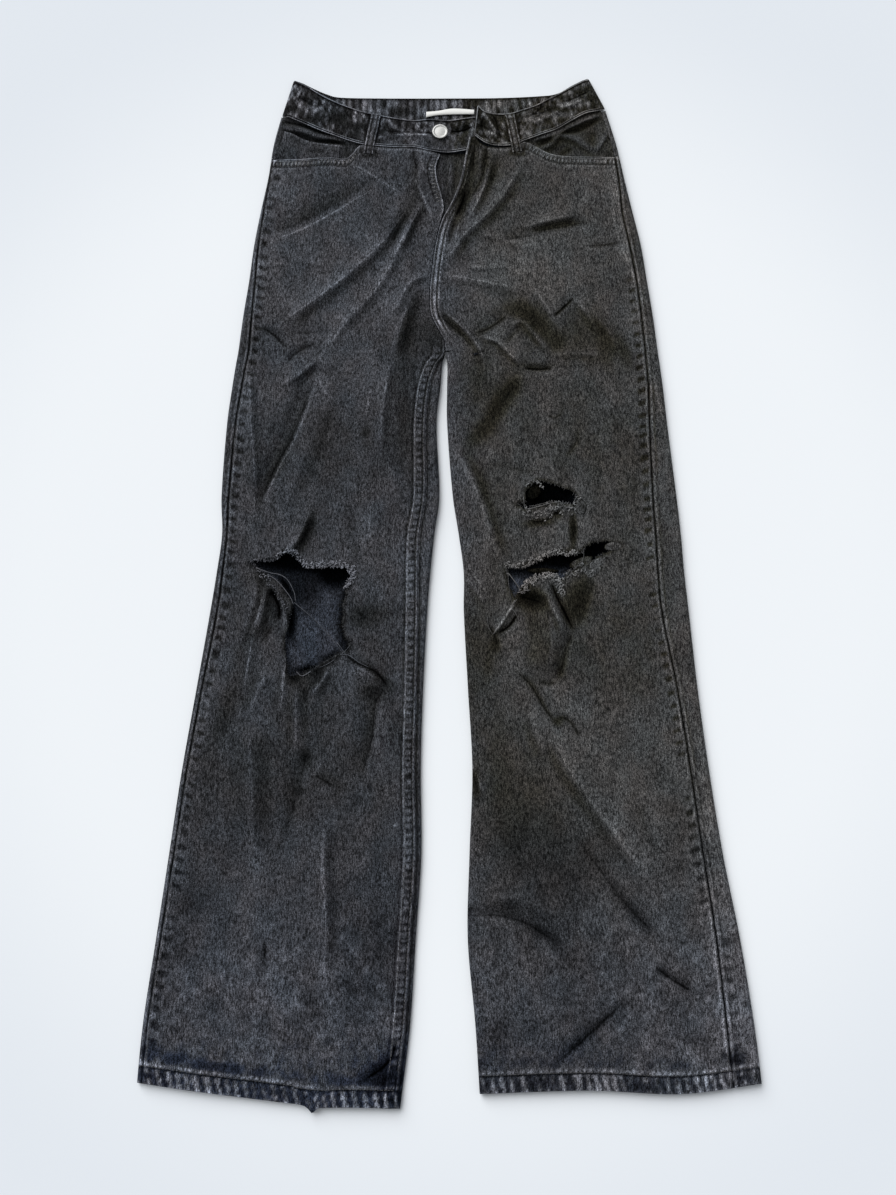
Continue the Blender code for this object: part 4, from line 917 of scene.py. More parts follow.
def cloth_colour(x, y, tone):
    """Washed black denim: bluer on the right leg and towards the hems, warmer on the left; darker tones,
    mostly painted shade, turn olive.
    """
    warm = step(-20, 60, x)[..., None]
    low = step(-220, -470, y)[..., None]
    colour = mix(CHARCOAL_BLUE, CHARCOAL_WARM, warm)
    colour = mix(colour, CHARCOAL_LOW, 0.75 * low)
    # darker tones, much of them painted shade, turn olive as the cloth does in shadow; near the hems they
    # turn navy
    olive = step(1.0, 0.35, tone) * mix(0.35, 1.0, step(-8, 14, x)) * step(-330, -200, y)
    colour = colour * mix(np.ones(3), np.array([1.05, 1.0, 0.74]), olive[..., None])
    navy = step(1.0, 0.5, tone) * step(-455, -495, y) * mix(1.0, 0.4, step(-20, 20, x))
    colour = colour * mix(np.ones(3), np.array([0.86, 1.0, 1.32]), navy[..., None])
    return colour * np.clip(np.exp(TONE_GAIN * (tone - 1)), 0.08, 5.0)[..., None]


def colour_at(x, y, tone):
    """The cloth's colour at one place."""
    return cloth_colour(np.array([x]), np.array([y]), np.array([tone]))[0]


def to_metres(points):
    """Plans are drawn as the eye sees them on the table, so a raised point sits back towards it."""
    out = np.array(points, float)
    back = out[..., 2] / EYE[2]
    out[..., 0] -= MIDDLE_X + (out[..., 0] - EYE[0]) * back
    out[..., 1] -= MIDDLE_Y + (out[..., 1] - EYE[1]) * back
    return out * MM


def mesh_object(name, verts, faces, colours=None):
    """A mesh object from points in table millimetres, with a colour at each point."""
    mesh = bpy.data.meshes.new(name)
    mesh.from_pydata(to_metres(verts).tolist(), [], [tuple(f) for f in faces])
    if colours is not None:
        layer = mesh.attributes.new("shade", "FLOAT_COLOR", "POINT")
        rgba = np.ones((len(verts), 4), np.float32)
        rgba[:, :3] = colours[:, :3]
        layer.data.foreach_set("color", rgba.ravel())
        for column, field in enumerate(("line_away", "line_wear_and_shade")[:colours.shape[1] - 3]):
            layer = mesh.attributes.new(field, "FLOAT", "POINT")
            layer.data.foreach_set("value", colours[:, 3 + column].astype(np.float32))
    mesh.validate()
    mesh.shade_smooth()
    obj = bpy.data.objects.new(name, mesh)
    bpy.context.scene.collection.objects.link(obj)
    return obj


def normals_of(points):
    """The unit normal at each point of a grid."""
    along = np.gradient(points, axis=0)
    across = np.gradient(points, axis=1)
    normal = np.cross(across, along)
    size = np.linalg.norm(normal, axis=-1, keepdims=True)
    return normal / np.maximum(size, 1e-9)


def slab(name, outer, inner, facing, colours, under, keep=None):
    """A closed thin wall between two grids of points. facing is +1 where rows x columns turn outward."""
    rows, columns = outer.shape[:2]
    count = rows * columns
    index = np.arange(count).reshape(rows, columns)
    if keep is None:
        keep = np.ones((rows - 1, columns - 1), bool)
    a, b = index[:-1, :-1][keep], index[:-1, 1:][keep]
    c, d = index[1:, 1:][keep], index[1:, :-1][keep]
    top_faces = np.stack([a, b, c, d], -1)
    low_faces = np.stack([a, d, c, b], -1) + count
    rims = []
    kept = np.zeros((rows + 1, columns + 1), bool)
    kept[1:rows, 1:columns] = keep
    for di, dj, first, second in (
        (-1, 0, (0, 1), (0, 0)), (1, 0, (1, 0), (1, 1)), (0, -1, (0, 0), (1, 0)), (0, 1, (1, 1), (0, 1)),
    ):
        border = keep & ~kept[1 + di:rows + di, 1 + dj:columns + dj]
        i, j = np.nonzero(border)
        p, q = index[i + first[0], j + first[1]], index[i + second[0], j + second[1]]
        rims.append(np.stack([p, q, q + count, p + count], -1))
    faces = np.concatenate([top_faces, low_faces] + rims)
    if facing < 0:
        faces = faces[:, ::-1]
    verts = np.concatenate([outer.reshape(-1, 3), inner.reshape(-1, 3)])
    extra = colours.shape[-1] - under.shape[-1]
    if extra:
        under = np.concatenate([under, np.zeros(under.shape[:-1] + (extra,))], -1)
    kinds = colours.shape[-1]
    tones = np.concatenate([colours.reshape(-1, kinds), under.reshape(-1, kinds)])
    used = np.unique(faces)
    renumber = np.full(len(verts), -1)
    renumber[used] = np.arange(len(used))
    return mesh_object(name, verts[used], renumber[faces], tones[used])


def turned_faces(index):
    """The faces of a closed tube of points, row by row, with both ends capped."""
    after = np.roll(index, -1, axis=1)
    quads = np.stack([index[:-1], after[:-1], after[1:], index[1:]], -1).reshape(-1, 4)
    return [tuple(q) for q in quads] + [tuple(index[0][::-1]), tuple(index[-1])]


def shell(name, outer, facing, thickness, colours, inside=None, keep=None):
    """A wall of even thickness on a grid of outer points."""
    inner = outer - normals_of(outer) * facing * thickness
    return slab(name, outer, inner, facing, colours, colours * 0.7 if inside is None else inside, keep)


def cut_area(y, u, keep=None):
    """Area of the flat cut, in square metres, from heights along the leg and lengths across it."""
    tall = y[1:, :-1] - y[:-1, :-1]
    wide = np.abs(u[:-1, 1:] - u[:-1, :-1])
    cells = tall * wide
    if keep is not None:
        cells = cells * keep
    return float(cells.sum()) * MM * MM


# ------------------------------------------------------------------------------- rips
def ragged(outline, seed, spacing=1.6, jag=0.7):
    """A closed outline with torn teeth."""
    points = np.array([(bend.x, bend.y) for bend in outline], float)
    loop = []
    for k in range(len(points)):
        p0, p1, p2, p3 = (points[(k + m) % len(points)] for m in (-1, 0, 1, 2))
        count = max(2, int(np.hypot(*(p2 - p1)) / spacing))
        for t in np.linspace(0, 1, count, endpoint=False):
            straight = p1 + (p2 - p1) * t
            loop.append(0.5 * straight + 0.5 * curved(p0, p1, p2, p3, t))
    loop = np.array(loop)
    number = np.arange(len(loop))
    ahead = np.roll(loop, -1, axis=0) - np.roll(loop, 1, axis=0)
    out = np.stack([ahead[:, 1], -ahead[:, 0]], -1)
    out /= np.maximum(np.linalg.norm(out, axis=1, keepdims=True), 1e-9)
    teeth = jag * (2 * chance(number, seed) - 1) + jag * ripple(number, 4, seed + 1)
    return loop + out * teeth[:, None]


def inside_of(loop, x, y):
    """Whether places lie inside a closed outline."""
    inside = np.zeros(np.shape(x), bool)
    for k in range(len(loop)):
        (x0, y0), (x1, y1) = loop[k], loop[(k + 1) % len(loop)]
        crosses = (y0 > y) != (y1 > y)
        with np.errstate(divide="ignore", invalid="ignore"):
            at = (x1 - x0) * (y - y0) / (y1 - y0) + x0
        inside ^= crosses & (x < at)
    return inside


def snapper(loops, reach):
    """Moves grid places that are near a torn edge onto it."""
    def snap(x, y):
        x, y = x.copy(), y.copy()
        for loop in loops:
            closed = np.vstack([loop, loop[:1]])
            near = nearby(loop, x, y, 4)
            px, py = x[near], y[near]
            if not len(px):
                continue
            a, run = closed[:-1], closed[1:] - closed[:-1]
            dx, dy = px[:, None] - a[:, 0], py[:, None] - a[:, 1]
            t = np.clip((dx * run[:, 0] + dy * run[:, 1]) / (run ** 2).sum(1), 0, 1)
            qx, qy = a[:, 0] + t * run[:, 0], a[:, 1] + t * run[:, 1]
            far = np.hypot(qx - px[:, None], qy - py[:, None])
            k = far.argmin(axis=1)
            row = np.arange(len(px))
            close = far[row, k] < reach
            px[close], py[close] = qx[row, k][close], qy[row, k][close]
            x[near], y[near] = px, py
        return x, y
    return snap


RIGHT_RIPS = [ragged(RIGHT_KNEE_RIP, 5)]
LEFT_RIPS = [ragged(LEFT_THIGH_HOLE, 6), ragged(LEFT_KNEE_RIP, 7)]


# ------------------------------------------------------------------------------- panels
def places(length, low, high, fine, coarse):
    """Shares along a length: fine steps near both ends, coarse steps between them."""
    first = np.concatenate([[0.0, 0.5], np.arange(1.1, low, fine)])
    last = length - np.concatenate([[0.0, 0.5], np.arange(1.1, high, fine)])[::-1]
    count = int((last[0] - first[-1]) / coarse)
    return np.concatenate([first, np.linspace(first[-1], last[0], count + 1)[1:-1], last]) / length


def front_panel(name, half, rips, frays):
    """A front with its rips, and the area of its flat cut."""
    columns = places(212, 13, 14, 1.15, CELL)
    rows = places(975, 24, 13, 1.4, CELL)
    row, column = np.meshgrid(rows, columns, indexing="ij")
    y = mix(HEM_Y, FRONT_Y, row)
    for round_number in range(4):   # x and y depend on each other, so they are settled in rounds
        start = half.round(half.column("outseam", y)) + 0.15
        u = mix(start, half.front_end(y) - 0.15, column)
        x = ring(half, y, u, half.fly_edge)[..., 0] if round_number == 3 else plan_x(half, y, u)
        y = mix(line(half.hem, x), line(half.front_top, x) - 0.3, row)
    start = half.round(half.column("outseam", y)) + 0.15
    u = mix(start, half.front_end(y) - 0.15, column)
    outer = ring(half, y, u, half.fly_edge, snapper(rips, CELL * 0.6))
    middle = (outer[1:, 1:] + outer[:-1, :-1] + outer[1:, :-1] + outer[:-1, 1:]) / 4
    keep = np.ones(middle.shape[:2], bool)
    for loop in rips:
        keep &= ~inside_of(loop, middle[..., 0], middle[..., 1])
    tone = half.shade(outer[..., 0], outer[..., 1])
    for loop, table in zip(rips, frays):
        tone = torn_edge_shade(loop, table, outer[..., 0], outer[..., 1], tone)
    colours = cloth_colour(outer[..., 0], outer[..., 1], tone)
    under = np.broadcast_to(INSIDE, colours.shape)
    colours = np.concatenate([colours, worn_and_shaded_lines(half.creases, outer[..., 0], outer[..., 1])], -1)
    obj = shell(name, outer, half.inward, CLOTH, colours, under, keep)
    return obj, cut_area(y, u, keep)


def plan_x(half, y, u):
    """x of a front at lengths u from the side fold, without its folds."""
    side, width = half.column("side", y), half.width(y, half.fly_edge)
    run = np.maximum(np.abs(u) - QUARTER, 0)
    return side + half.inward * (ROLL + np.minimum(run, width - 2 * ROLL))


def torn_edge_shade(loop, table, x, y, tone):
    """Painted shade round a torn edge: the cloth is darkened along it, least where it frays pale."""
    near = nearby(loop, x, y, 10)
    px, py = x[near], y[near]
    aside, along = beside(np.vstack([loop, loop[:1]]), px, py)
    share, pale = np.full(len(px), 1e-6), np.zeros(len(px))
    # each row's tone sets the painted shade: the lower the tone, the darker the edge
    for fray in table:
        weight = np.exp(-((px - fray.x) ** 2 + (py - fray.y) ** 2) / (0.55 * fray.reach) ** 2)
        share += weight
        pale += weight * (0.10 * fray.tone - 0.66)
    tone = tone.copy()
    uneven = 0.75 + 0.5 * ripple(along * 60, 1.0, 4)
    tone[near] += pale / share * uneven * np.exp(-(aside / 2.4) ** 2)
    return tone


def back_lengths(half, y):
    """Lengths round the back of the tube, column by column, for rows at y."""
    start = half.round(half.column("outseam", y)) - 0.15
    end = half.back_end(y) - 0.15
    inset = half.column("inseam", y)
    wraps = (y < FORK_Y) & (inset > 0.6)
    extreme = end - half.round(inset)
    low = np.where(wraps, extreme - QUARTER, end - 16)
    last = np.where(wraps, extreme, end - 8)
    stops = (start, np.minimum(QUARTER, start), -QUARTER, -low, -last, -end)
    parts = []
    for first, second, count in zip(stops, stops[1:], (10, 10, 56, 10, 9)):
        for share in np.linspace(0, 1, count, endpoint=second is stops[-1]):
            parts.append(mix(first, second, share))
    return np.stack(parts, axis=1)


def column_lengths(half, y):
    """Lengths round the back of the tube where every column has its own heights."""
    return np.stack([back_lengths(half, y[:, k])[:, k] for k in range(y.shape[1])], axis=1)


def back_panel(name, half):
    """A back round the side folds and over the floor, and the area of its flat cut."""
    rows = np.concatenate([[0.0, 0.0012, 0.003], np.linspace(0.006, 0.994, 330), [0.997, 1.0]])
    u = back_lengths(half, mix(HEM_Y, BACK_Y, rows))
    row = np.repeat(rows[:, None], u.shape[1], axis=1)
    y = mix(HEM_Y, BACK_Y, row)
    for _ in range(3):
        x = ring(half, y, u, CENTRE_BACK)[..., 0]
        y = mix(line(half.hem, x), line(YOKE_SEAM, x) - 0.15, row)
        u = column_lengths(half, y)
    outer = ring(half, y, u, CENTRE_BACK)
    x, y_at = outer[..., 0], outer[..., 1]
    below = outer[..., 2] < 3
    tone = half.shade(x, y_at)
    tone = np.where(below, 1 + 0.1 * cloud(x, y_at, 40, 5), tone)
    colours = cloth_colour(x, y_at, tone)
    inner = outer + normals_of(outer) * half.inward * CLOTH
    height, wear = creased(INSIDE_CREASES, x, y_at)
    flat = (outer[..., 2] < SEAT_LIFT + 0.1) & (np.abs(u) > QUARTER)
    inner[..., 2] = np.where(flat, outer[..., 2] + CLOTH + height, inner[..., 2])
    # the inner face seen through the rips: painted shade of the hollows, lighter along its creases
    dark = np.clip((1 + wear) * (1 - patched(HOLLOW_SHADE_PATCHES, x, y_at)), 0.02, 3)
    under = INSIDE * dark[..., None]
    obj = slab(name, outer, inner, -half.inward, colours, under)
    return obj, cut_area(y, u)


def yoke(name, half):
    """The strip of the back between its seam and the waistband."""
    rows = np.linspace(0, 1, 24)
    u = back_lengths(half, mix(BACK_Y, BAND_Y, rows))
    row = np.repeat(rows[:, None], u.shape[1], axis=1)
    y = mix(BACK_Y, BAND_Y, row)
    for _ in range(4):
        x = ring(half, y, u, CENTRE_BACK)[..., 0]
        y = mix(line(YOKE_SEAM, x) + 0.15, line(BACK_BAND_SEAM, x) - 0.3, row)
        u = np.minimum(column_lengths(half, y), half.round(5.0) - 0.15)
    outer = ring(half, y, u, CENTRE_BACK)
    tone = 1 + 0.1 * cloud(outer[..., 0], outer[..., 1], 30, 6)
    colours = cloth_colour(outer[..., 0], outer[..., 1], tone)
    inside = np.broadcast_to(INSIDE, colours.shape)
    obj = shell(name, outer, -half.inward, CLOTH, colours, inside)
    return obj, cut_area(y, u)


# ------------------------------------------------------------------------------- the waistband
def fold_round(before, after, ends):
    """Rows that turn the band round a side fold."""
    rows = []
    upward = after[4] > 0
    side = -1 if before[0] < 0 else 1
    for angle in range(15, 180, 15):
        tilt = math.radians(angle)
        out = math.sin(tilt)
        up = -math.cos(tilt) if upward else math.cos(tilt)
        near = before if angle <= 90 else after
        plan = [mix(near[2 * k + axis], ends[k][axis], out) for k in (0, 1) for axis in (0, 1)]
        rows.append(plan + [3.5 * (1 + up), side * out, up])
    return rows


def band_rows():
    """Rows across the band, end to end: low x, low y, high x, high y, z, then which way is out."""
    right = smooth_path(BAND_RIGHT, 1.6)
    back = smooth_path(BAND_BACK, 2.0)
    left = smooth_path(BAND_LEFT, 1.6)
    rows = [list(row) + [0.0, 1.0] for row in right]
    rows += fold_round(right[-1], back[0], RIGHT_BAND_FOLD)
    rows += [list(row) + [0.0, -1.0] for row in back]
    rows += fold_round(back[-1], left[0], LEFT_BAND_FOLD)
    rows += [list(row) + [0.0, 1.0] for row in left]
    return np.array(rows)


LOOP_PATHS = (((-79.3, 497), (-86.0, 461)), ((68.0, 497.5), (74.5, 461)))


def band_relief(x, y, s, share):
    """Height, tone and pale or dark lines of the waistband's puckers, seams and folds over the front, with
    painted shade on its sloping end and beside the belt loops.
    """
    height, wear = creased(BAND_CREASES, x, y)
    edge = np.minimum(share, 1 - share)
    ropes = roping(s + 6 * share, 8.5, 31)
    blotch = cloud(x, y, 6.8, 33)
    calm = np.where((x > -72) & (x < 30), mix(1.0, 0.35, step(0.55, 0.40, share)), 1.0)
    calm = calm * mix(1.0, 0.75, step(76, 84, x))
    height = height + calm * (0.45 * ropes + 0.50 * blotch) * stroke(edge, 0.2, 0.24)
    fine = cloud(x, y, 4.2, 35)
    pebbles = roping(s, 7.6, 36) * roping(BAND_DEPTH * share + 0.4 * s, 9.0, 37)
    ropes = ropes * stroke(edge, 0.26, 0.3)
    # darker towards the right side fold: painted shade where the band slopes down there
    tone = mix(0.50, 0.72, step(-100, -40, x)) + wear
    tone += 0.14 * step(-86, -74, x) * step(14, 0, x) * step(0.62, 0.50, share)
    strong = mix(1.25, 1.0, step(-90, -78, x))
    spotted = 0.50 * ropes + 0.85 * blotch + 0.50 * fine + 1.05 * pebbles
    tone += calm * strong * spotted
    strokes(height, edge, 1, (0.05, 0.02, -0.4))
    strokes(tone, share, 1, (0.02, 0.03, 0.25), (0.985, 0.025, 0.25))
    strokes(tone, edge, 1, (0.06, 0.025, -0.55))
    # a painted shadow on the band beside each belt loop
    for path in LOOP_PATHS:
        from_loop = np.abs(beside(np.array(path, float), np.ravel(x), np.ravel(y))[0]).reshape(x.shape)
        strokes(tone, from_loop, 1, (6.2, 1.5, -0.9))
    lines = worn_and_shaded_lines(BAND_CREASES, x, y)
    uneven = 0.8 + 0.3 * ripple(s, 7, 34)
    for at, strength in ((0.012, 0.34), (0.05, -0.40), (0.085, 0.20), (0.99, 0.36), (0.95, -0.40)):
        lines = nearer(lines, (share - at) * BAND_DEPTH, strength * uneven)
    return height, tone, lines


def waistband():
    """The band over both fronts and round the back, its worn edges, its length and its depth."""
    rows = band_rows()
    shares = np.array([0, .015, .04, .07, .105, .15, .2, .26, .32, .38, .44, .5, .56, .62, .68, .74,
                       .8, .85, .895, .93, .96, .985, 1])
    share = np.repeat(shares[None, :], len(rows), axis=0)
    x = mix(rows[:, 0:1], rows[:, 2:3], share)
    y = mix(rows[:, 1:2], rows[:, 3:4], share)
    z = np.repeat(rows[:, 4:5], len(shares), axis=1)
    out_x, out_z = rows[:, 5:6] + 0 * x, rows[:, 6:7] + 0 * x
    middle = np.stack([x[:, 11], y[:, 11]], -1)
    s = reach_along(middle)[:, None] + 0 * x
    relief, tone, lines = band_relief(x, y, s, share)
    front = step(0.3, 0.9, out_z)
    round_off = 0.55 * stroke(np.minimum(share, 1 - share), 0, 0.02)
    level = np.maximum(z + relief * front - out_z * round_off, 0.0)
    outer = np.stack([x - out_x * round_off, y, level], -1)
    back = step(-0.3, -0.9, out_z)
    inner_ropes = roping(s, 8.0, 41)
    inner_relief = back * (0.35 * inner_ropes + 0.2 * cloud(x, y, 9, 42))
    thick = BAND_CLOTH - round_off * 0.8 + inner_relief
    inner = np.stack([x - out_x * thick, y, np.maximum(level - out_z * thick, 0.0)], -1)
    colours = cloth_colour(x, y, np.clip(tone, 0.15, 3))
    inner_tone = 0.98 + 0.60 * inner_ropes * step(0.1, 0.25, share) + 0.80 * cloud(x, 0.7 * y, 7, 43)
    strokes(inner_tone, share, 1, (1.0, 0.06, -1.2))
    under = cloth_colour(x, y, np.clip(inner_tone, 0.15, 3)) * 0.92
    colours = np.concatenate([colours, lines], -1)
    obj = slab("waistband_cloth", outer, inner, 1, colours, under)
    rolls = cords("waistband_edges", band_rolls(outer, rows))
    length = float(s[-1, 0]) * MM
    deep = float(np.hypot(rows[:, 2] - rows[:, 0], rows[:, 3] - rows[:, 1]).mean()) * MM
    return obj, rolls, length, deep


# ------------------------------------------------------------------------------- pockets and fly
# folds seen in the right pocket's mouth; the dark lines are painted shade under the band
RIGHT_POCKET_CREASES = rows_of(
    Crease,
    ([(-190, 483), (-160, 477), (-140, 469), (-118, 467.5), (-104, 463)], 2.4, 4, 5, 0.30),
    ([(-188, 489), (-160, 483), (-140, 475), (-120, 472)], -1.0, 3, 3, -0.95),
    ([(-178, 475), (-160, 469), (-146, 464.5), (-126, 463.5), (-106, 458)], -1.4, 3, 3.4, -0.95),
    ([(-112, 458), (-111, 450), (-112, 444)], -0.8, 6, 6, -0.45),
)
# folds seen in the left pocket's mouth; the dark lines are painted shade under the band
LEFT_POCKET_CREASES = rows_of(
    Crease,
    ([(88, 463.5), (104, 469), (120, 475.5), (140, 484.5), (158, 493), (174, 497)], 2.2, 3.5, 4, 0.30),
    ([(98, 453), (107, 458), (115, 465), (121, 472), (131, 471), (141, 467), (151, 459),
     (162, 451)], 2.6, 6, 7, 0.35),
    ([(161, 449), (166, 458), (173, 471), (176, 482)], 1.6, 5, 4, 0.30),
    ([(96, 459), (106, 463), (118, 467)], -2.2, 5, 5, -0.9),
    ([(122, 474), (134, 475.5), (146, 479), (160, 487), (168, 490)], -2.4, 4.5, 4, -1.0),
    ([(122, 446), (130, 453), (136, 457)], -1.6, 7, 7, -0.6),
    ([(160, 456), (158, 466), (162, 476)], -1.2, 7, 7, -0.25),
)
COIN_CREASES = rows_of(
    Crease,
    ([(-180, 462), (-170, 452), (-164, 440)], 0.6, 4, 4, 0.12),
    ([(-160, 452), (-140, 452), (-124, 455)], -0.4, 2.5, 2.5, -0.25),
    ([(-132, 456), (-128, 450), (-126, 444)], 0.5, 3, 3, 0.15),
)
SHIELD_CREASES = rows_of(
    Crease,
    ([(-7, 448), (-8, 425), (-3, 396)], 0.9, 2.2, 2.2, 0.25),
    ([(1, 446), (3, 425), (1, 402)], 0.9, 2.6, 2.6, 0.35),
    ([(9, 444), (9, 425), (6, 404)], -0.6, 2, 2, -0.3),
)


def facing_height(half, x, y):
    """Height of a pocket's facing: low under the front, higher where the mouth is open."""
    opened = step(-1, 12, y - line(half.front_top, x))
    near_side = 1 - step(6, 30, np.abs(x - half.column("side", y)))
    return 3.1 + opened * mix(0.7, 2.2, near_side)


def pocket_facing(name, half, band_seam, corner, creases):
    """The facing seen in a pocket's mouth, from the side fold to the mouth's inner corner."""
    share, across = np.meshgrid(np.linspace(0, 1, 60), np.linspace(0, 1, 90) ** 1.25, indexing="ij")
    inner_x = corner + half.inward * 10
    y = mix(424.0, 480.0, share)
    for _ in range(4):
        side = half.column("side", y)
        x = mix(side + half.inward * (half.column("outseam", y) + 0.15), inner_x, across)
        tucked = 2.3 * step(7, 15, np.abs(x - side))
        y = mix(424.0, line(band_seam, x) - 0.3 + tucked, share)
    inset = np.abs(x - side)
    height, wear = creased(creases, x, y)
    opened = step(-2, 8, y - line(half.front_top, x))
    z = facing_height(half, x, y) + height * opened + 0.2 * cloud(x, y, 14, 51) * opened
    z = np.clip(z, 2.2, 7.5)
    rolled = LAID / 2 * (1 + np.sqrt(np.clip(1 - (1 - np.minimum(inset, ROLL) / ROLL) ** 2, 0, 1)))
    open_row = step(-3, 1, y - line(half.front_top, x))
    z = mix(z, rolled, open_row * step(11, 2, inset))
    z = np.where(inset < 16, z, np.minimum(z, np.where(tucked * share > 2.0, 5.2, 9.0)))
    tone = 0.72 + wear + 0.12 * cloud(x, y, 12, 52)
    colours = cloth_colour(x, y, np.clip(tone, 0.05, 3))
    points = np.stack([x, y, z], -1)
    obj = shell(name, points, half.inward, 0.9, colours)
    return obj, cut_area(y, x)


def coin_pocket():
    """The small pocket on the right facing, showing above the mouth."""
    share, across = np.meshgrid(np.linspace(0, 1, 30), np.linspace(0, 1, 44), indexing="ij")
    top_line = [Bend(-186, 478), Bend(-172, 474), Bend(-160, 467.5), Bend(-150, 464),
                Bend(-140, 462), Bend(-118, 459.5)]
    y = mix(429.0, 465.0, share)
    for _ in range(4):
        x = mix(RIGHT.column("side", y) + 8.0, COIN_RIGHT + 0 * y, across)
        y = mix(429.0, line(top_line, x), share)
    height, wear = creased(COIN_CREASES, x, y)
    from_top = line(top_line, x) - y
    z = facing_height(RIGHT, x, y) + 1.5 + height + 0.15 * cloud(x, y, 9, 55)
    z = z + 0.3 * step(11, 9, from_top) * (1 + 0.5 * roping(x, 5, 56))
    tone = 0.84 + wear + 0.1 * cloud(x, y, 12, 57)
    strokes(tone, from_top, 1, (0.6, 1.1, 0.5))
    tone += 0.18 * step(11, 9, from_top) * roping(x, 5, 56)
    strokes(tone, x, 1, (COIN_RIGHT - 0.8, 0.8, 0.4))
    colours = cloth_colour(x, y, np.clip(tone, 0.05, 3))
    obj = shell("coin_pocket_cloth", np.stack([x, y, z], -1), 1, 0.9, colours)
    return obj, cut_area(y, x)


def fly_shield():
    """The strip behind the open fly."""
    share, across = np.meshgrid(np.linspace(0, 1, 40), np.linspace(0, 1, 24), indexing="ij")
    y = mix(374.0, 449.5, share)
    overlap = 10 * mix(0.35, 1, step(0, 0.4, share))
    low, high = read(RIGHT_FLY_EDGE, "y", "x", y) - overlap, read(LEFT_FLY_EDGE, "y", "x", y) + overlap
    x = mix(low, high, across)
    height, wear = creased(SHIELD_CREASES, x, y)
    open_part = step(8, 12, x - low) * step(8, 12, high - x)
    z = 3.9 + height * open_part
    # painted darker than the fronts, and darkest just under the band, as the shade inside the fly's opening
    tone = 0.66 + wear + 0.1 * cloud(x, y, 10, 61) - 0.6 * step(444, 450, y)
    colours = cloth_colour(x, y, np.clip(tone, 0.05, 3))
    obj = shell("fly_shield_cloth", np.stack([x, y, z], -1), 1, CLOTH, colours)
    return obj, cut_area(y, x)


def belt_loop(name, high, low, tail, base):
    """A folded strip, from the waistband's top edge to a tacked tail below its seam."""
    path = smooth_path([high, mix(np.array(high), np.array(low), 0.5), low, tail], 1.0)
    run = np.gradient(path, axis=0)
    run /= np.linalg.norm(run, axis=1, keepdims=True)
    along = reach_along(path)
    body = (along / along[-1])[:, None]
    widths = np.linspace(-1, 1, 27)
    aside = np.abs(widths)
    x = path[:, :1] - run[:, 1:] * widths * LOOP_HALF
    y = path[:, 1:] + run[:, :1] * widths * LOOP_HALF
    z = base + 1.5 + 0.9 * np.sin(math.pi * np.clip(body * 1.08, 0, 1)) * (1 - 0.3 * widths ** 2)
    z = z + 0.35 * stroke(aside, 0.68, 0.16) - 0.5 * (aside > 0.99)
    z -= 1.2 * step(0.86, 0.97, body)
    z += 0.5 * stroke(body, 0.93, 0.03) * roping(widths * 5, 2.4, 3)
    tone = 0.9 + 0 * x
    strokes(tone, aside, 1, (0.86, 0.15, 0.75), (0.52, 0.13, -0.75))
    strokes(tone, widths, 1, (0, 0.28, 0.35))
    strokes(tone, body, 1, (0.0, 0.012, -0.8), (0.13, 0.015, -0.6), (0.80, 0.015, -0.9), (1.0, 0.02, -0.9))
    tone += 0.25 * cloud(x, y, 5, 71)
    strokes(tone, body, 1, (0.07, 0.035, 0.45))
    colours = cloth_colour(x, y, np.clip(tone, 0.1, 3))
    return shell(name, np.stack([x, y, z], -1), -1, 1.4, colours)


def inner_label():
    """The blank label that stands up inside the back of the waistband."""
    low = [Bend(-24, 493.5), Bend(-12, 496), Bend(5, 497), Bend(29, 497.3)]
    high = [Bend(-24, 500), Bend(-12, 501), Bend(5, 504), Bend(29, 502.5)]
    x, share = np.meshgrid(np.linspace(*LABEL_ENDS, 60), np.linspace(0, 1, 8), indexing="ij")
    y = mix(line(low, x), line(high, x), share)
    z = 3.5 + 0.8 * np.sin(math.pi * share) + 0.25 * ripple(x, 14, 81)
    colours = np.broadcast_to(np.array([0.80, 0.80, 0.775]), x.shape + (3,))
    return shell("inner_label_cloth", np.stack([x, y, z], -1), 1, 0.5, colours, colours * 0.8)


def waist_button():
    """A turned shank button with a rolled rim and a shallow dished face."""
    profile = smooth_path([(3.5, 0.0), (3.5, 0.9), (6.4, 1.05), (8.2, 1.35), (8.6, 2.0), (8.2, 2.75),
                           (7.3, 3.0), (6.6, 2.7), (6.0, 2.45), (4.0, 2.6), (2.0, 2.75), (0.02, 2.8)], 0.35)
    turn = np.linspace(0, 2 * math.pi, 57)
    x = BUTTON_X + profile[:, :1] * np.cos(turn)
    y = BUTTON_Y + profile[:, :1] * np.sin(turn)
    z = BUTTON_Z + profile[:, 1:] + 0 * x
    verts = np.stack([x, y, z], -1)[:, :-1]
    rows, columns = verts.shape[:2]
    index = np.arange(rows * columns).reshape(rows, columns)
    return mesh_object("waist_button_turned", verts.reshape(-1, 3), turned_faces(index))


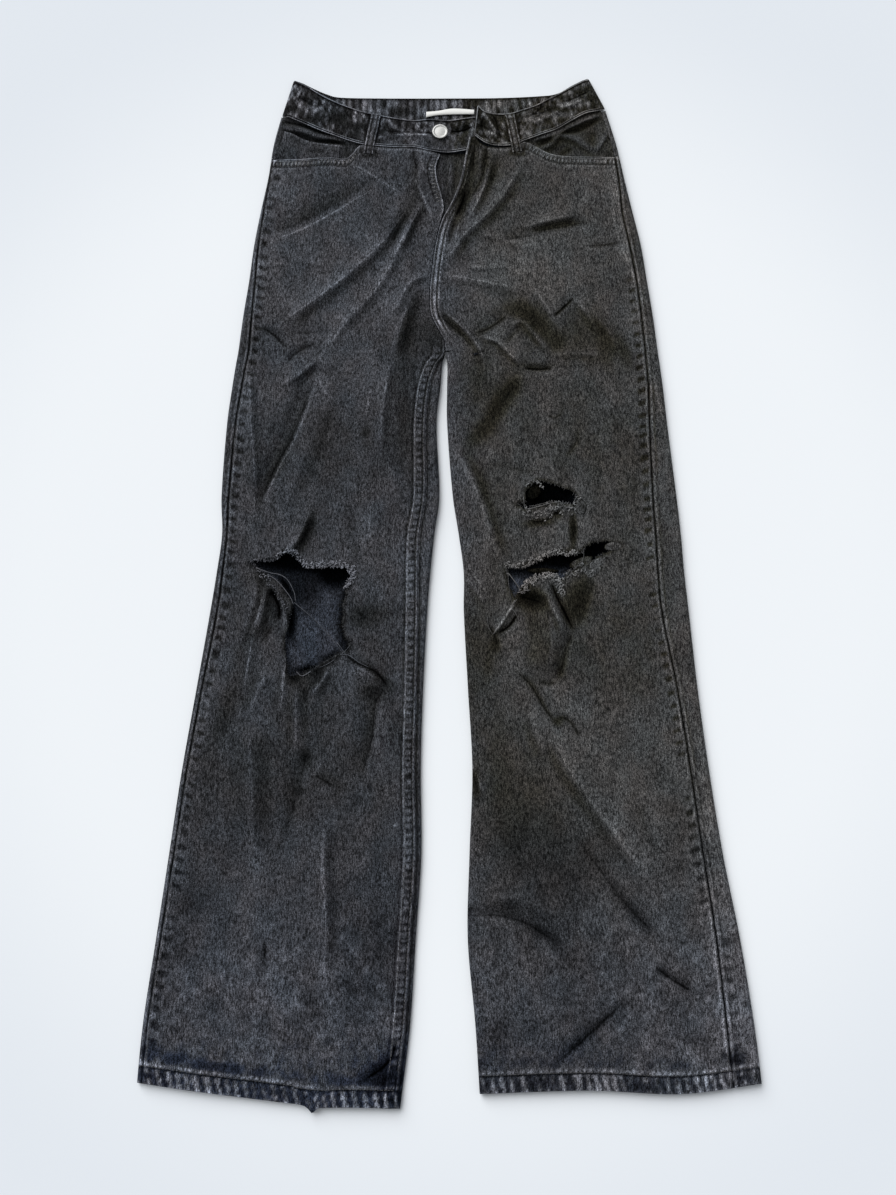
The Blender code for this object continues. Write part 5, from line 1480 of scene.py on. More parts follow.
def back_pocket(name, side):
    """A plain patch under the seat, flush with the floor."""
    outline = [(side * x - 3, y) for x, y in ((38, 391), (160, 395), (154, 278), (98, 260), (44, 276))]
    left_edge = np.array([outline[0], outline[4]])
    right_edge = np.array([outline[1], outline[2]])
    bottom_mid = np.array(outline[3])
    share = np.linspace(0, 1, 34)
    across = np.linspace(0, 1, 30)
    points = np.zeros((34, 30, 2))
    for i, t in enumerate(share):
        a, b = mix(left_edge[0], left_edge[1], t), mix(right_edge[0], right_edge[1], t)
        base = a + (b - a) * across[:, None]
        drop = (1 - np.abs(2 * across - 1))[:, None] * t
        mid = (left_edge[1] + right_edge[1]) / 2
        points[i] = base + drop * (bottom_mid - mid)
    x, y = points[..., 0], points[..., 1]
    tone = 1 + 0.1 * cloud(x, y, 30, 91)
    edge = np.minimum(np.minimum(across, 1 - across)[None, :] * 116, (1 - share)[:, None] * 118)
    edge = np.minimum(edge, share[:, None] * 118)
    tone = tone + 0.35 * stroke(edge, 0, 2) + 0.15 * stroke(edge, 6, 3) * cloud(x, y, 5, 92)
    colours = cloth_colour(x, y, tone)
    upper = np.stack([x, y, 1.1 + 0 * x], -1)
    lower = np.stack([x, y, 0.0 + 0 * x], -1)
    return slab(name, lower, upper, side, colours, colours * 0.7)


# ------------------------------------------------------------------------------- threads
def tubes(name, threads, sides=5, tip=0.55):
    """Many thin round threads in one mesh. Each is a short row of points, a radius and a colour."""
    verts, faces, tones = [], [], []
    offset = 0
    around = np.linspace(0, 2 * math.pi, sides, endpoint=False)
    ring_of = np.stack([np.cos(around), np.sin(around)], -1)
    for path, radius, colour in threads:
        path = np.asarray(path, float)
        count = len(path)
        run = np.gradient(path, axis=0)
        run /= np.maximum(np.linalg.norm(run, axis=1, keepdims=True), 1e-9)
        side = np.cross(run, np.array([0.13, 0.21, 1.0]))
        side /= np.maximum(np.linalg.norm(side, axis=1, keepdims=True), 1e-9)
        up = np.cross(side, run)
        taper = radius * np.linspace(1.0, tip, count)[:, None, None]
        points = path[:, None, :] + taper * (ring_of[None, :, :1] * side[:, None, :]
                                             + ring_of[None, :, 1:] * up[:, None, :])
        verts.append(points.reshape(-1, 3))
        faces += turned_faces(offset + np.arange(count * sides).reshape(count, sides))
        tones.append(np.repeat(np.asarray(colour, float)[None, :], count * sides, axis=0))
        offset += count * sides
    return mesh_object(name, np.concatenate(verts), faces, np.concatenate(tones))


def cords(name, lines):
    """Pale worn edges, as thin rolls along rows of points: (points, radius, tone)."""
    threads = []
    for points, radius, tone in lines:
        for k, start in enumerate(range(0, len(points) - 2, 5)):
            piece = points[start:start + 6]
            shade = tone * (0.72 + 0.5 * float(chance(k, 10)))
            threads.append((piece, radius * (0.85 + 0.3 * float(chance(k, 9))),
                            colour_at(piece[0, 0], piece[0, 1], shade)))
    return tubes(name, threads, tip=1.0)


def edge_rolls(half):
    """The worn rolled edges of a front: at the pocket's mouth and at the fly."""
    lines = []
    x = np.arange(*((-188, -97, 1.6) if half.inward > 0 else (88, 184, 1.6)))
    y = line(half.front_top, x) - 0.5
    lines.append((np.stack([x, y, half.lid(x, y) + 0.2], -1), 0.62, 1.95))
    y = np.arange(350, 436, 1.8) if half.inward < 0 else np.arange(396, 436, 1.8)
    x = half.edge_x(y) - half.inward * 0.7
    lines.append((np.stack([x, y, half.lid(x, y) + 0.15], -1), 0.60, 1.85))
    return lines


def band_rolls(outer, rows):
    """The worn rolled edges and the seam of the waistband over the front."""
    lines = []
    over = rows[:, 6] > 0.95
    first, last = outer[:np.argmin(over)], outer[len(over) - np.argmin(over[::-1]):]
    edges = ((1, 0.3, 0.60, 1.95), (3, 0.25, 0.42, 1.75), (21, 0.35, 0.58, 1.90))
    for run in (first, last):
        for column, lift, radius, tone in edges:
            lines.append((run[:, column] + np.array([0, 0, lift]), radius, tone))
    lines.append((last[-1, ::2] + np.array([0.3, 0, 0.4]), 0.65, 1.95))
    return lines


def stitches(name, half, lines):
    """Rows of stitches on a front. Each is a path in plan, the thread's tone, and the half length of
    the bars across the path (0 for stitches along it)."""
    threads = []
    share = np.linspace(0, 1, THREAD_STEPS)
    for path, tone, across in lines:
        fine = smooth_path(path, 0.8)
        run = np.gradient(fine, axis=0)
        run /= np.maximum(np.hypot(run[:, 0], run[:, 1]), 1e-9)[:, None]
        reach = reach_along(fine)
        for k, start in enumerate(np.arange(0.6, reach[-1] - 2.6, 4.3 if across else 3.3)):
            luck = float(chance(k, 7))
            at = start + (0 * share if across else 2.4 * share)
            x, y = np.interp(at, reach, fine[:, 0]), np.interp(at, reach, fine[:, 1])
            aside = across * (2 * share - 1) * (0.8 + 0.4 * luck)
            dx, dy = np.interp(at, reach, run[:, 0]), np.interp(at, reach, run[:, 1])
            x, y = x - dy * aside + 0.12 * aside, y + dx * aside
            z = half.lid(x, y) + np.array([-0.25, 0.12, 0.2, 0.12, -0.25]) - (0.38 if across else 0.0)
            threads.append((np.stack([x, y, z], -1), 0.85 if across else 0.34,
                            np.array(STITCH) * tone * (0.75 + 0.5 * luck)))
    return tubes(name, threads)


def seam_lines(half):
    """Where a front is stitched: (path in plan, thread's tone, half length of bars)."""
    def at_edge(low, high, offset):
        y = np.linspace(low, high, max(3, int((high - low) / 14)))
        return np.column_stack([half.edge_x(y) - half.inward * offset, y])

    out = []
    x = np.linspace(*((-290, -48) if half.inward > 0 else (32, 292)), 40)
    out.append((np.column_stack([x, half.hem_y(x) + HEM_DEPTH - 0.4]), 0.75, 0))
    x = np.linspace(*((-188, -98) if half.inward > 0 else (90, 184)), 24)
    for offset, tone, across in ((2.6, 1.1, 0), (5.1, 1.5, 2.0), (8.4, 0.8, 0)):
        out.append((np.column_stack([x, line(half.front_top, x) - offset]), tone, across))
    if half.inward > 0:
        rows = ((-502, 212, 2.0, 1.1, 0), (-502, 212, 10.2, 1.1, 0), (392, 438, 2.6, 1.1, 0),
                (392, 438, 5.8, 1.4, 2.2))
    else:
        rows = ((252, 364, 2.2, 1.1, 0), (252, 364, 8.4, 1.1, 0))
    for low, high, offset, tone, across in rows:
        out.append((at_edge(low, high, offset), tone, across))
    y = np.linspace(-500, 432, 90)
    out.append((np.column_stack([half.seam_x(y) + half.inward * 2.2, y]), 0.9, 0))
    return out


STITCH = (0.085, 0.086, 0.088)
Fray = namedtuple("Fray", "x y reach every length lean tone")
# along the torn edge: where, how far, how close, how long, how aslant, how pale; a low tone paints the edge
# and its threads dark as shade, and below -1 gives thick dark ticks of painted shadow
RIGHT_KNEE_FRAY = rows_of(
    Fray,
    (-194, -8, 20, 0.9, 2.4, 0.2, 0.9), (-174, -4, 18, 0.7, 3.0, 0.3, 1.3),
    (-155, -4, 16, 0.5, 3.0, 0.3, 1.7), (-128, -12, 24, 0.4, 3.0, 0.2, 1.9),
    (-98, -22, 13, 0.45, 3.4, 0.5, 1.8), (-106, -48, 20, 2.7, 5.0, 0.0, -1.1),
    (-107, -66, 20, 2.5, 5.6, 0.0, -1.2), (-105, -86, 20, 2.7, 5.0, 0.0, -1.2),
    (-118, -106, 18, 1.0, 3.4, 0.4, 0.1), (-134, -114, 18, 1.0, 3.4, 0.4, 0.0),
    (-154, -120, 18, 1.0, 3.0, 0.4, 0.0), (-164, -96, 20, 3.0, 1.5, 0.1, 0.9),
    (-160, -60, 20, 3.0, 1.2, 0.1, 1.2), (-180, -24, 20, 2.0, 1.6, 0.1, 1.2),
)
LEFT_THIGH_FRAY = rows_of(
    Fray,
    (74, 53, 10, 1.0, 2.4, 0.3, 0.6), (92, 49, 18, 0.7, 2.4, 0.5, 1.6), (118, 53, 18, 0.7, 2.4, 0.5, 1.6),
    (134, 60, 10, 0.9, 2.6, 0.4, 1.3), (90, 77, 20, 1.6, 1.8, 0.3, 0.9),
    (112, 74, 20, 1.2, 2.2, 0.3, 0.8),
)
LEFT_KNEE_FRAY = rows_of(
    Fray,
    (64, -13, 14, 0.45, 3.0, 0.2, 1.7), (86, -9, 18, 0.45, 3.2, 0.2, 1.8),
    (112, 0, 18, 0.5, 3.2, 0.2, 1.8), (132, 2, 12, 0.7, 2.6, 0.2, 1.2), (150, 12, 18, 2.0, 1.6, 0.2, 0.5),
    (172, 10, 16, 3.0, 1.2, 0.2, 0.7), (90, -27, 16, 0.4, 3.6, 0.7, 1.9),
    (108, -24, 12, 0.4, 4.2, 0.9, 1.9), (130, -15, 16, 0.6, 3.6, 0.8, 1.3),
    (150, -5, 14, 0.9, 2.6, 0.5, 0.8), (72, -40, 12, 1.0, 2.6, 0.4, 0.5),
    (62, -26, 12, 2.0, 1.6, 0.2, 0.7),
)
Tuft = namedtuple("Tuft", "path width every tone")
# curled fluff along the pale torn edges
RIGHT_KNEE_TUFTS = rows_of(
    Tuft,
    ([(-204, -8), (-190, -6), (-176, -4)], 2.0, 0.55, 1.55),
    ([(-176, -3), (-163, 4), (-154, -1), (-146, -11)], 3.2, 0.30, 1.90),
    ([(-148, -10), (-138, -12), (-113, -11), (-103, -14)], 4.2, 0.20, 1.98),
    ([(-104, -14), (-96, -19), (-99, -28), (-106, -36)], 4.6, 0.18, 2.02),
    ([(-194, -17), (-187, -24), (-180, -26)], 3.5, 0.4, 1.7),
    ([(-186, -26), (-177, -36), (-169, -48), (-164, -60)], 4.5, 0.5, 1.5),
)
LEFT_THIGH_TUFTS = rows_of(
    Tuft,
    ([(79, 50), (82, 42), (90, 39), (100, 41), (110, 48)], 6.5, 0.30, 1.72),
    ([(104, 47), (113, 50), (121, 46), (131, 46)], 6.0, 0.28, 1.78),
    ([(130, 50), (136, 57), (139, 61)], 2.2, 0.45, 1.75),
    ([(82, 72), (91, 76), (98, 70)], 1.2, 0.5, 1.75),
)
LEFT_KNEE_TUFTS = rows_of(
    Tuft,
    ([(58, -11), (66, -13), (76, -10), (94, -4)], 3.4, 0.24, 1.95),
    ([(92, -4), (111, 3), (122, 0), (132, 1)], 3.8, 0.22, 1.98),
    ([(76, -34), (88, -27), (103, -22.5), (112, -25)], 5.0, 0.16, 2.02),
    ([(110, -25), (115, -30), (113, -36), (119, -44)], 5.0, 0.20, 1.95),
    ([(118, -26), (127, -20), (138, -16), (146, -22)], 7.0, 0.28, 1.66),
    ([(74, -40), (82, -37)], 2.6, 0.4, 1.8),
)
Yarn = namedtuple("Yarn", "path z radius tone")
# single long threads, lying over the hollow or on the cloth
RIGHT_KNEE_YARNS = rows_of(
    Yarn,
    ([(-156, -51), (-137, -67), (-130, -74), (-120, -85), (-105, -104)], 4.2, 0.34, 1.5),
    ([(-152, -122), (-146, -126), (-135, -119), (-125, -112), (-108, -103)], 7.6, 0.34, 1.7),
    ([(-110, -104), (-100, -105), (-90, -112), (-80, -117)], 7.2, 0.34, 1.55),
    ([(-130, -118), (-118, -112), (-104, -101), (-100, -96)], 7.4, 0.32, 1.6),
    ([(-112, -92), (-106, -100), (-101, -108)], 7.4, 0.32, 1.55),
    ([(-196, -15), (-182, -20), (-172, -22), (-165, -26), (-160, -33), (-156, -42),
     (-155, -50)], 6.4, 0.55, 1.55),
    ([(-184, -22), (-176, -27), (-170, -33), (-165, -39), (-160, -46), (-157, -53)], 6.9, 0.55, 1.6),
)
LEFT_THIGH_YARNS = rows_of(
    Yarn,
    ([(82, 47), (92, 49.5), (104, 53), (114, 55)], 6.9, 0.40, 1.75),
    ([(84, 50), (94, 52), (106, 55.5)], 5.4, 0.34, 1.5),
    ([(114, 56), (119, 52), (120, 47)], 7.2, 0.32, 1.6),
    ([(129, 53), (133, 60), (140, 62)], 7.4, 0.36, 1.7), ([(78, 60), (79, 50), (83, 42)], 7.3, 0.36, 1.6),
    ([(92, 78), (96, 74), (99, 68)], 6.6, 0.42, 1.7), ([(116, 6), (119, 20), (122, 38)], 7.4, 0.5, 1.35),
)
LEFT_KNEE_YARNS = rows_of(
    Yarn,
    ([(62, -21), (70, -32), (74, -39)], 6.9, 0.55, 1.6),
    ([(61, -20), (62, -34), (64, -50)], 6.6, 0.45, 1.25),
    ([(71, -41), (77, -39), (84, -38)], 7.2, 0.42, 1.7),
    ([(68, -49), (60, -61), (52, -75), (45, -84)], 7.6, 0.50, 1.62),
    ([(65, -57), (69, -63), (72, -70)], 7.4, 0.35, 1.6),
    ([(70, -48), (64, -55), (56, -66)], 7.5, 0.36, 1.5),
    ([(40, -66), (41, -76), (45, -84)], 7.4, 0.36, 1.4),
    ([(138, 5), (139, -2), (137, -9)], 6.6, 0.4, 1.3),
)
Lobe = namedtuple("Lobe", "x y along across turn base tone")
# little curled tongues of cloth at the end of the slit; the one lying low in the slit is painted dark, as the
# shade there
LEFT_KNEE_LOBES = rows_of(
    Lobe,
    (169.5, 7.5, 9.5, 4.8, 4, 6.6, 1.02), (153, -9.5, 11.5, 4.4, 24, 6.7, 1.14),
    (149, -19.5, 9.5, 4.2, 32, 6.7, 1.08), (136, -9, 13, 4.6, 20, 5.2, 0.62),
    (97, -18, 16, 2.8, -2, 4.0, -0.15),
)
# tongues in the thigh hole; the low one is painted dark, as the shade in the hole
LEFT_THIGH_LOBES = rows_of(
    Lobe,
    (89, 65, 8.0, 6.0, 50, 4.2, -1.2), (137, 49, 6, 8, 0, 6.5, 0.92),
)


def tufts(half, table, seed):
    """Short curls of yarn scattered along a path, as threads."""
    threads = []
    number = 0
    for tuft in table:
        fine = smooth_path(tuft.path, 1.0)
        reach = reach_along(fine)
        run = np.gradient(fine, axis=0)
        for at in np.arange(0, reach[-1], 3.4 * tuft.every):
            number += 1
            luck = [float(chance(number, seed + k)) for k in range(8)]
            x, y = (float(np.interp(at, reach, fine[:, k])) for k in (0, 1))
            dx, dy = (float(np.interp(at, reach, run[:, k])) for k in (0, 1))
            size = max(math.hypot(dx, dy), 1e-9)
            off = (luck[0] + luck[1] - 1.0) * tuft.width
            x, y = x - dy / size * off, y + dx / size * off
            turn = 2 * math.pi * luck[2] + np.linspace(0, math.pi * (0.4 + 0.9 * luck[3]), 6)
            curl = 0.6 + 0.8 * luck[4]
            z = half.lid_at(x, y) + 0.3 + 0.7 * luck[5]
            path = np.stack([x + curl * np.cos(turn), y + 1.1 * curl * np.sin(turn),
                             z + 0.35 * np.sin(turn * 0.5 + luck[6])], -1)
            threads.append((path, 0.60 + 0.35 * luck[7], colour_at(x, y, tuft.tone - 0.50 + 0.80 * luck[6])))
    return threads


def yarns(table):
    """Single threads laid along given paths."""
    threads = []
    for yarn in table:
        fine = smooth_path(yarn.path, 2.2)
        sway = 0.18 * ripple(np.arange(len(fine)), 2.0, 44)
        path = np.column_stack([fine[:, 0] + sway, fine[:, 1] - sway, np.full(len(fine), yarn.z)])
        threads.append((path, yarn.radius, colour_at(fine[0, 0], fine[0, 1], yarn.tone)))
    return threads


def lobes(name, table):
    """Small curled tongues of cloth, in one mesh."""
    verts, faces, tones = [], [], []
    start = 0
    for lobe in table:
        u, v = np.meshgrid(np.linspace(-1, 1, 21), np.linspace(-1, 1, 13), indexing="ij")
        far = np.maximum(np.abs(u), np.abs(v)) / np.maximum(np.hypot(u, v), 1e-6)
        u, v = u * far, v * far
        turn = math.radians(lobe.turn)
        jag = 1 + 0.07 * ripple(np.arctan2(v, u) * 3, 1.0, 51)
        du, dv = lobe.along * u * jag, lobe.across * v * jag
        x = lobe.x + du * math.cos(turn) - dv * math.sin(turn)
        y = lobe.y + du * math.sin(turn) + dv * math.cos(turn)
        rim = np.hypot(u, v)
        z = lobe.base + 0.9 * (1 - rim ** 2) + 0.35 * cloud(x, y, 4, 52)
        tone = lobe.tone + 0.16 * cloud(x, y, 3.5, 53)
        # a painted highlight round the curl, and a dark line at its rim
        strokes(tone, rim, 1, (0.75, 0.18, 0.10), (1.0, 0.10, -1.1))
        outer, colours = np.stack([x, y, z], -1).reshape(-1, 3), cloth_colour(x, y, tone).reshape(-1, 3)
        index = np.arange(x.size).reshape(x.shape)
        quads = np.stack([index[:-1, :-1], index[1:, :-1], index[1:, 1:], index[:-1, 1:]], -1).reshape(-1, 4)
        edge = np.concatenate([index[:, 0], index[-1, 1:], index[-2::-1, -1], index[0, -2:0:-1]])
        after = np.roll(edge, -1)
        side = np.stack([after, edge, edge + x.size, after + x.size], -1)
        faces += [tuple(q) for q in np.concatenate([quads, quads[:, ::-1] + x.size, side]) + start]
        verts += [outer, outer - np.array([0, 0, 0.9])]
        tones += [colours, colours * 0.6]
        start += 2 * x.size
    return mesh_object(name, np.concatenate(verts), faces, np.concatenate(tones))


def fringe(name, half, loop, table, curls, long_ones, seed):
    """Broken threads along a torn edge, with its curled fluff and its single long threads."""
    closed = np.vstack([loop, loop[:1]])
    reach = reach_along(closed)
    centre_sign = 1.0 if inside_of(loop, *(loop[0] + 0.4 * inward_at(closed, reach, 0.0))) else -1.0
    threads = []
    number = 0
    for fray in table:
        near = np.hypot(closed[:, 0] - fray.x, closed[:, 1] - fray.y) < fray.reach * 0.75
        if not near.any():
            continue
        spots = reach[near]
        at = spots.min()
        while at < spots.max():
            number += 1
            luck = [float(chance(number, seed + k)) for k in range(6)]
            at += fray.every * (0.4 + 1.2 * luck[0])
            if at > reach[-1]:
                break
            x = float(np.interp(at, reach, closed[:, 0]))
            y = float(np.interp(at, reach, closed[:, 1]))
            if math.hypot(x - fray.x, y - fray.y) > fray.reach * 0.75:
                continue
            inward = inward_at(closed, reach, at) * centre_sign
            side = np.array([-inward[1], inward[0]])
            way = inward + side * (luck[1] - 0.5) * (0.6 + fray.lean)
            if luck[2] < 0.3:
                way = -inward * 0.7 + side * (luck[1] - 0.5) * 1.6
            way /= np.linalg.norm(way)
            size = fray.length * (0.45 + 0.9 * luck[3])
            z = half.lid_at(x, y) - 0.4
            rise = (luck[4] - 0.35) * 1.6
            bend = side * (luck[5] - 0.5) * 0.5
            steps = np.linspace(0, 1, THREAD_STEPS)[:, None]
            plan = np.array([x, y]) + way * (steps - 0.12) * size + bend * size * steps ** 2
            lift = z + rise * np.sin(steps * 1.9) * 1.1
            # a low tone darkens the threads as painted shade over the hollow; below -1 they are thick dark
            # ticks of painted shadow
            threads.append((np.hstack([plan, lift]), (0.2 + 0.2 * luck[2]) * (2.2 if fray.tone < -1 else 1.0),
                            colour_at(x, y, 0.6 + 0.58 * fray.tone * (0.45 + 1.0 * luck[4]))))
    return tubes(name, threads + tufts(half, curls, seed + 40) + yarns(long_ones), sides=4)


def inward_at(closed, reach, at):
    """A closed path's left-hand normal at a length along it."""
    ahead = np.array([np.interp(at + 1.0, reach, closed[:, k]) for k in (0, 1)])
    behind = np.array([np.interp(at - 1.0, reach, closed[:, k]) for k in (0, 1)])
    run = ahead - behind
    run /= max(np.linalg.norm(run), 1e-9)
    return np.array([-run[1], run[0]])


# ------------------------------------------------------------------------------- materials
def feed(target, inputs):
    """Sets each of a node's inputs to a value, or links it from another node's socket."""
    for name, value in inputs.items():
        if isinstance(value, bpy.types.NodeSocket):
            target.id_data.links.new(value, target.inputs[name])
        else:
            target.inputs[name].default_value = value


def node(tree, kind, inputs, **fields):
    """A new shader node with its fields and inputs set."""
    made = tree.nodes.new("ShaderNode" + kind)
    for field, value in fields.items():
        setattr(made, field, value)
    feed(made, inputs)
    return made


def new_material(name):
    """A material with its tree, its shader and the object's own coordinates."""
    made = bpy.data.materials.new(name)
    made.use_nodes = True
    tree = made.node_tree
    return made, tree, tree.nodes["Principled BSDF"], node(tree, "TexCoord", {}).outputs["Object"]


def multiplied(tree, a, b):
    """One colour multiplied by another."""
    return node(tree, "Mix", {"Factor": 1.0, "A": a, "B": b}, data_type="RGBA",
                blend_type="MULTIPLY").outputs["Result"]


def denim_material(name, grain=1.0, rough=0.92):
    """Mottled denim: the shade stored on the cloth, streaked along the leg and crossed by twill."""
    made, tree, shader, where = new_material(name)

    def noise(across, along, detail, roughness):
        place = node(tree, "Mapping", {"Scale": (across, along, across), "Vector": where})
        return node(tree, "TexNoise", {"Scale": 1.0, "Detail": detail, "Roughness": roughness,
                                       "Vector": place.outputs["Vector"]}).outputs["Fac"]

    def ramp(value, low, high, dark, light):
        return node(tree, "MapRange", {"From Min": low, "From Max": high, "To Min": dark,
                                       "To Max": light, "Value": value}).outputs["Result"]

    def maths(operation, *values):
        return node(tree, "Math", dict(enumerate(values)), operation=operation).outputs["Value"]

    def times(a, b):
        return maths("MULTIPLY", a, b)

    def stored(name):
        return node(tree, "Attribute", {}, attribute_name=name).outputs["Fac"]

    streaks = noise(860, 250, 2.0, 0.75)
    flecks = noise(1300, 900, 2.0, 0.8)
    blotches = noise(90, 50, 3.0, 0.65)
    value = times(ramp(streaks, 0.375, 0.625, 1 - 0.76 * grain, 1 + 0.92 * grain),
                  ramp(flecks, 0.37, 0.63, 1 - 0.80 * grain, 1 + 1.05 * grain))
    value = times(value, ramp(blotches, 0.3, 0.7, 0.80, 1.21))
    value = times(value, ramp(noise(430, 100, 1.0, 0.5), 0.3, 0.7, 1 - 0.15 * grain, 1 + 0.15 * grain))
    # the fold lines, pale where worn and dark where shade is painted, drawn sharper than the colours on the
    # grid
    away = maths("DIVIDE", stored("line_away"), LINE_WIDTH)
    near = maths("EXPONENT", times(times(away, away), -1.0))
    line_tone = times(times(near, stored("line_wear_and_shade")), 3.4)
    value = times(value, maths("EXPONENT", line_tone))
    hue = noise(34, 26, 2.0, 0.5)
    shade = node(tree, "VertexColor", {}, layer_name="shade").outputs["Color"]
    channels = (("Red", 0.955, 1.04), ("Green", 1.005, 0.99), ("Blue", 1.035, 0.965))
    tint = node(tree, "CombineColor", {channel: times(value, ramp(hue, 0.35, 0.65, cool, warm))
                                       for channel, cool, warm in channels})
    twill = node(tree, "TexWave", {"Scale": 260, "Distortion": 1.5, "Detail": 1.0, "Vector": where},
                 bands_direction="DIAGONAL")
    relief = maths("MULTIPLY_ADD", twill.outputs["Fac"], 0.35, streaks)
    bump = node(tree, "Bump", {"Strength": 0.5, "Distance": 0.0005, "Height": relief})
    # less shine where the stored colour is dark, so the painted shade in hollows and creases stays dark
    feed(shader, {
        "Base Color": multiplied(tree, shade, tint.outputs["Color"]),
        "Roughness": rough,
        "Specular IOR Level": maths("MINIMUM", times(shade, 3.0), 0.16),
        "Normal": bump.outputs["Normal"],
    })
    return made


def plain_material(name, colour, rough=0.6, metallic=0.0, specular=0.3, bump_scale=900, bump=0.2):
    """One colour with a fine grain in its tone and its surface."""
    made, tree, shader, where = new_material(name)
    feed(shader, {"Base Color": (*colour, 1), "Roughness": rough, "Metallic": metallic,
                  "Specular IOR Level": specular})
    grain = node(tree, "TexNoise", {"Scale": bump_scale, "Vector": where}).outputs["Fac"]
    tint = node(tree, "MapRange", {"To Min": 0.82, "To Max": 1.12, "Value": grain}).outputs["Result"]
    grey = node(tree, "CombineColor", {channel: tint for channel in ("Red", "Green", "Blue")})
    raised = node(tree, "Bump", {"Strength": bump, "Distance": 0.0003, "Height": grain})
    feed(shader, {"Base Color": multiplied(tree, (*colour, 1), grey.outputs["Color"]),
                  "Normal": raised.outputs["Normal"]})
    return made


DENIM = denim_material("washed_black_denim")
THREAD = denim_material("cotton_thread", grain=0.35, rough=0.8)
LABEL = plain_material("blank_label_tape", (0.80, 0.80, 0.775), rough=0.7, bump_scale=1400)
METAL = plain_material("worn_silver_metal", (0.50, 0.50, 0.485), rough=0.5, metallic=0.5, specular=0.6,
                       bump_scale=500, bump=0.06)


def dress(obj, material, slot, *nodes):
    """Gives a piece its material, its body and the solids it replaces; its slot is not used."""
    obj.data.materials.clear()
    obj.data.materials.append(material)
    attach(obj, "root")
    if nodes:
        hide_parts(*nodes)
    return obj


# ------------------------------------------------------------------------------- build
def build_fronts():
    """Both fronts with their torn threads, stitches, worn edges and tongues."""
    front_right, area = front_panel("front_right_cloth", RIGHT, RIGHT_RIPS, [RIGHT_KNEE_FRAY])
    dress(front_right, DENIM, "denim_1", "front_right")
    right_fray = dress(fringe("right_knee_fray", RIGHT, RIGHT_RIPS[0], RIGHT_KNEE_FRAY, RIGHT_KNEE_TUFTS,
                              RIGHT_KNEE_YARNS, 11), THREAD, "denim_1")
    right_seams = dress(stitches("front_right_stitches", RIGHT, seam_lines(RIGHT)), THREAD, "denim_1")
    right_edges = dress(cords("front_right_edges", edge_rolls(RIGHT)), THREAD, "denim_1")
    front_left, area = front_panel("front_left_cloth", LEFT, LEFT_RIPS, [LEFT_THIGH_FRAY, LEFT_KNEE_FRAY])
    dress(front_left, DENIM, "denim_2", "front_left")
    thigh_fray = dress(fringe("left_thigh_fray", LEFT, LEFT_RIPS[0], LEFT_THIGH_FRAY, LEFT_THIGH_TUFTS,
                              LEFT_THIGH_YARNS, 12), THREAD, "denim_2")
    knee_fray = dress(fringe("left_knee_fray", LEFT, LEFT_RIPS[1], LEFT_KNEE_FRAY, LEFT_KNEE_TUFTS,
                             LEFT_KNEE_YARNS, 13), THREAD, "denim_2")
    knee_lobes = dress(lobes("left_knee_tongues", LEFT_KNEE_LOBES), DENIM, "denim_2")
    left_seams = dress(stitches("front_left_stitches", LEFT, seam_lines(LEFT)), THREAD, "denim_2")
    left_edges = dress(cords("front_left_edges", edge_rolls(LEFT)), THREAD, "denim_2")
    thigh_lobes = dress(lobes("left_thigh_tongues", LEFT_THIGH_LOBES), DENIM, "denim_2")


def build_rest():
    """The backs, the yokes, the back pockets, the waistband and the small pieces."""
    for name, half, slot, flat in (("back_right", RIGHT, "denim_3", (0.30, 0.99)),
                                   ("back_left", LEFT, "denim_4", (0.32, 0.99))):
        back, area = back_panel(name + "_cloth", half)
        dress(back, DENIM, slot, name)
    for name, half, slot in (("yoke_right", RIGHT, "denim_5"), ("yoke_left", LEFT, "denim_6")):
        piece, area = yoke(name + "_cloth", half)
        dress(piece, DENIM, slot, name)
    for name, side, slot in (("back_pocket_right", -1, "denim_7"), ("back_pocket_left", 1, "denim_8")):
        piece = dress(back_pocket(name + "_cloth", side), DENIM, slot, name)
    band, rolls, length, deep = waistband()
    dress(band, DENIM, "denim_9", "waistband")
    dress(rolls, THREAD, "denim_9")
    loop_ends = (("belt_loop_right", (-87.6, 449.5), 6.6, "denim_10"),
                 ("belt_loop_left", (76.0, 451.5), 7.2, "denim_11"))
    for (high, low), (name, tail, base, slot) in zip(LOOP_PATHS, loop_ends):
        dress(belt_loop(name + "_cloth", high, low, tail, base), DENIM, slot, name)
    for name, half, seam, corner, creases, slot in (
        ("pocket_facing_right", RIGHT, RIGHT_BAND_SEAM, -98.0, RIGHT_POCKET_CREASES, "facing_1"),
        ("pocket_facing_left", LEFT, LEFT_BAND_SEAM, 86.0, LEFT_POCKET_CREASES, "facing_2"),
    ):
        piece, area = pocket_facing(name + "_cloth", half, seam, corner, creases)
        dress(piece, DENIM, slot, name)
    coin, area = coin_pocket()
    dress(coin, DENIM, "denim_12", "coin_pocket")
    shield, area = fly_shield()
    dress(shield, DENIM, "denim_13", "fly_shield")
    dress(waist_button(), METAL, "button_metal", "waist_button")
    dress(inner_label(), LABEL, "label_cloth", "inner_label")


build_fronts()
build_rest()


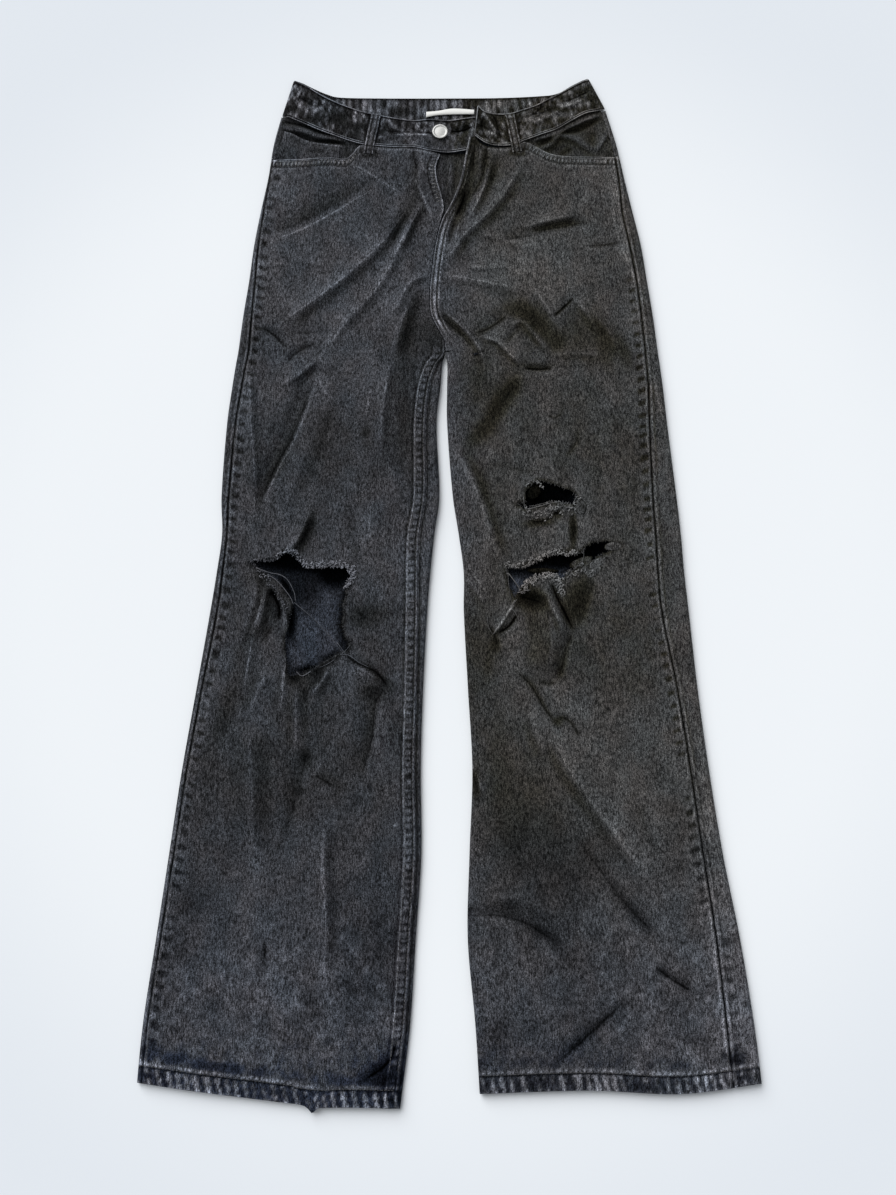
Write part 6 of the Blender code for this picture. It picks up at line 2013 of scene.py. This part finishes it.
# ------------------------------------------------------------------------------- studio
FLOOR_HALF, FLOOR_Z = 30.0, -0.0002


def studio():
    """The pale floor, the soft light and the camera."""
    floor_mesh = bpy.data.meshes.new("studio_floor")
    corners = [(-1, -1), (1, -1), (1, 1), (-1, 1)]
    verts = [(x * FLOOR_HALF, y * FLOOR_HALF, FLOOR_Z) for x, y in corners]
    floor_mesh.from_pydata(verts, [], [(0, 1, 2, 3)])
    floor = bpy.data.objects.new("studio_floor", floor_mesh)
    bpy.context.scene.collection.objects.link(floor)
    made, tree, shader, where = new_material("pale_floor")
    # painted fall-off of the light: the floor darkens away from the middle
    distance = node(tree, "VectorMath", {0: where}, operation="LENGTH").outputs["Value"]
    fade = node(tree, "MapRange", {"From Min": 0.40, "From Max": 0.72, "Value": distance},
                interpolation_type="SMOOTHSTEP").outputs["Result"]
    pale = node(tree, "Mix", {"A": (0.870, 0.90, 0.930, 1), "B": (0.765, 0.805, 0.855, 1), "Factor": fade},
                data_type="RGBA").outputs["Result"]
    feed(shader, {"Base Color": pale, "Roughness": 0.9, "Specular IOR Level": 0.1})
    floor_mesh.materials.append(made)

    sun = bpy.data.lights.new("key", "SUN")
    sun.energy = 3.3
    sun.angle = math.radians(55)
    key = bpy.data.objects.new("key", sun)
    key.rotation_euler = (math.radians(-38), math.radians(-38), 0)
    bpy.context.scene.collection.objects.link(key)
    world = bpy.context.scene.world or bpy.data.worlds.new("studio")
    bpy.context.scene.world = world
    world.use_nodes = True
    feed(world.node_tree.nodes["Background"], {"Color": (0.96, 0.98, 1.0, 1), "Strength": 0.36})

    lens = bpy.data.cameras.new("camera")
    lens.lens = 36
    lens.sensor_width = 36
    camera = bpy.data.objects.new("camera", lens)
    camera.location = ((EYE[0] - MIDDLE_X) * MM, (EYE[1] - MIDDLE_Y) * MM, EYE[2] * MM)
    camera.rotation_euler = (math.radians(CAMERA_TILT), 0, 0)
    bpy.context.scene.collection.objects.link(camera)
    bpy.context.scene.camera = camera
    bpy.context.scene.view_settings.view_transform = "Standard"


studio()
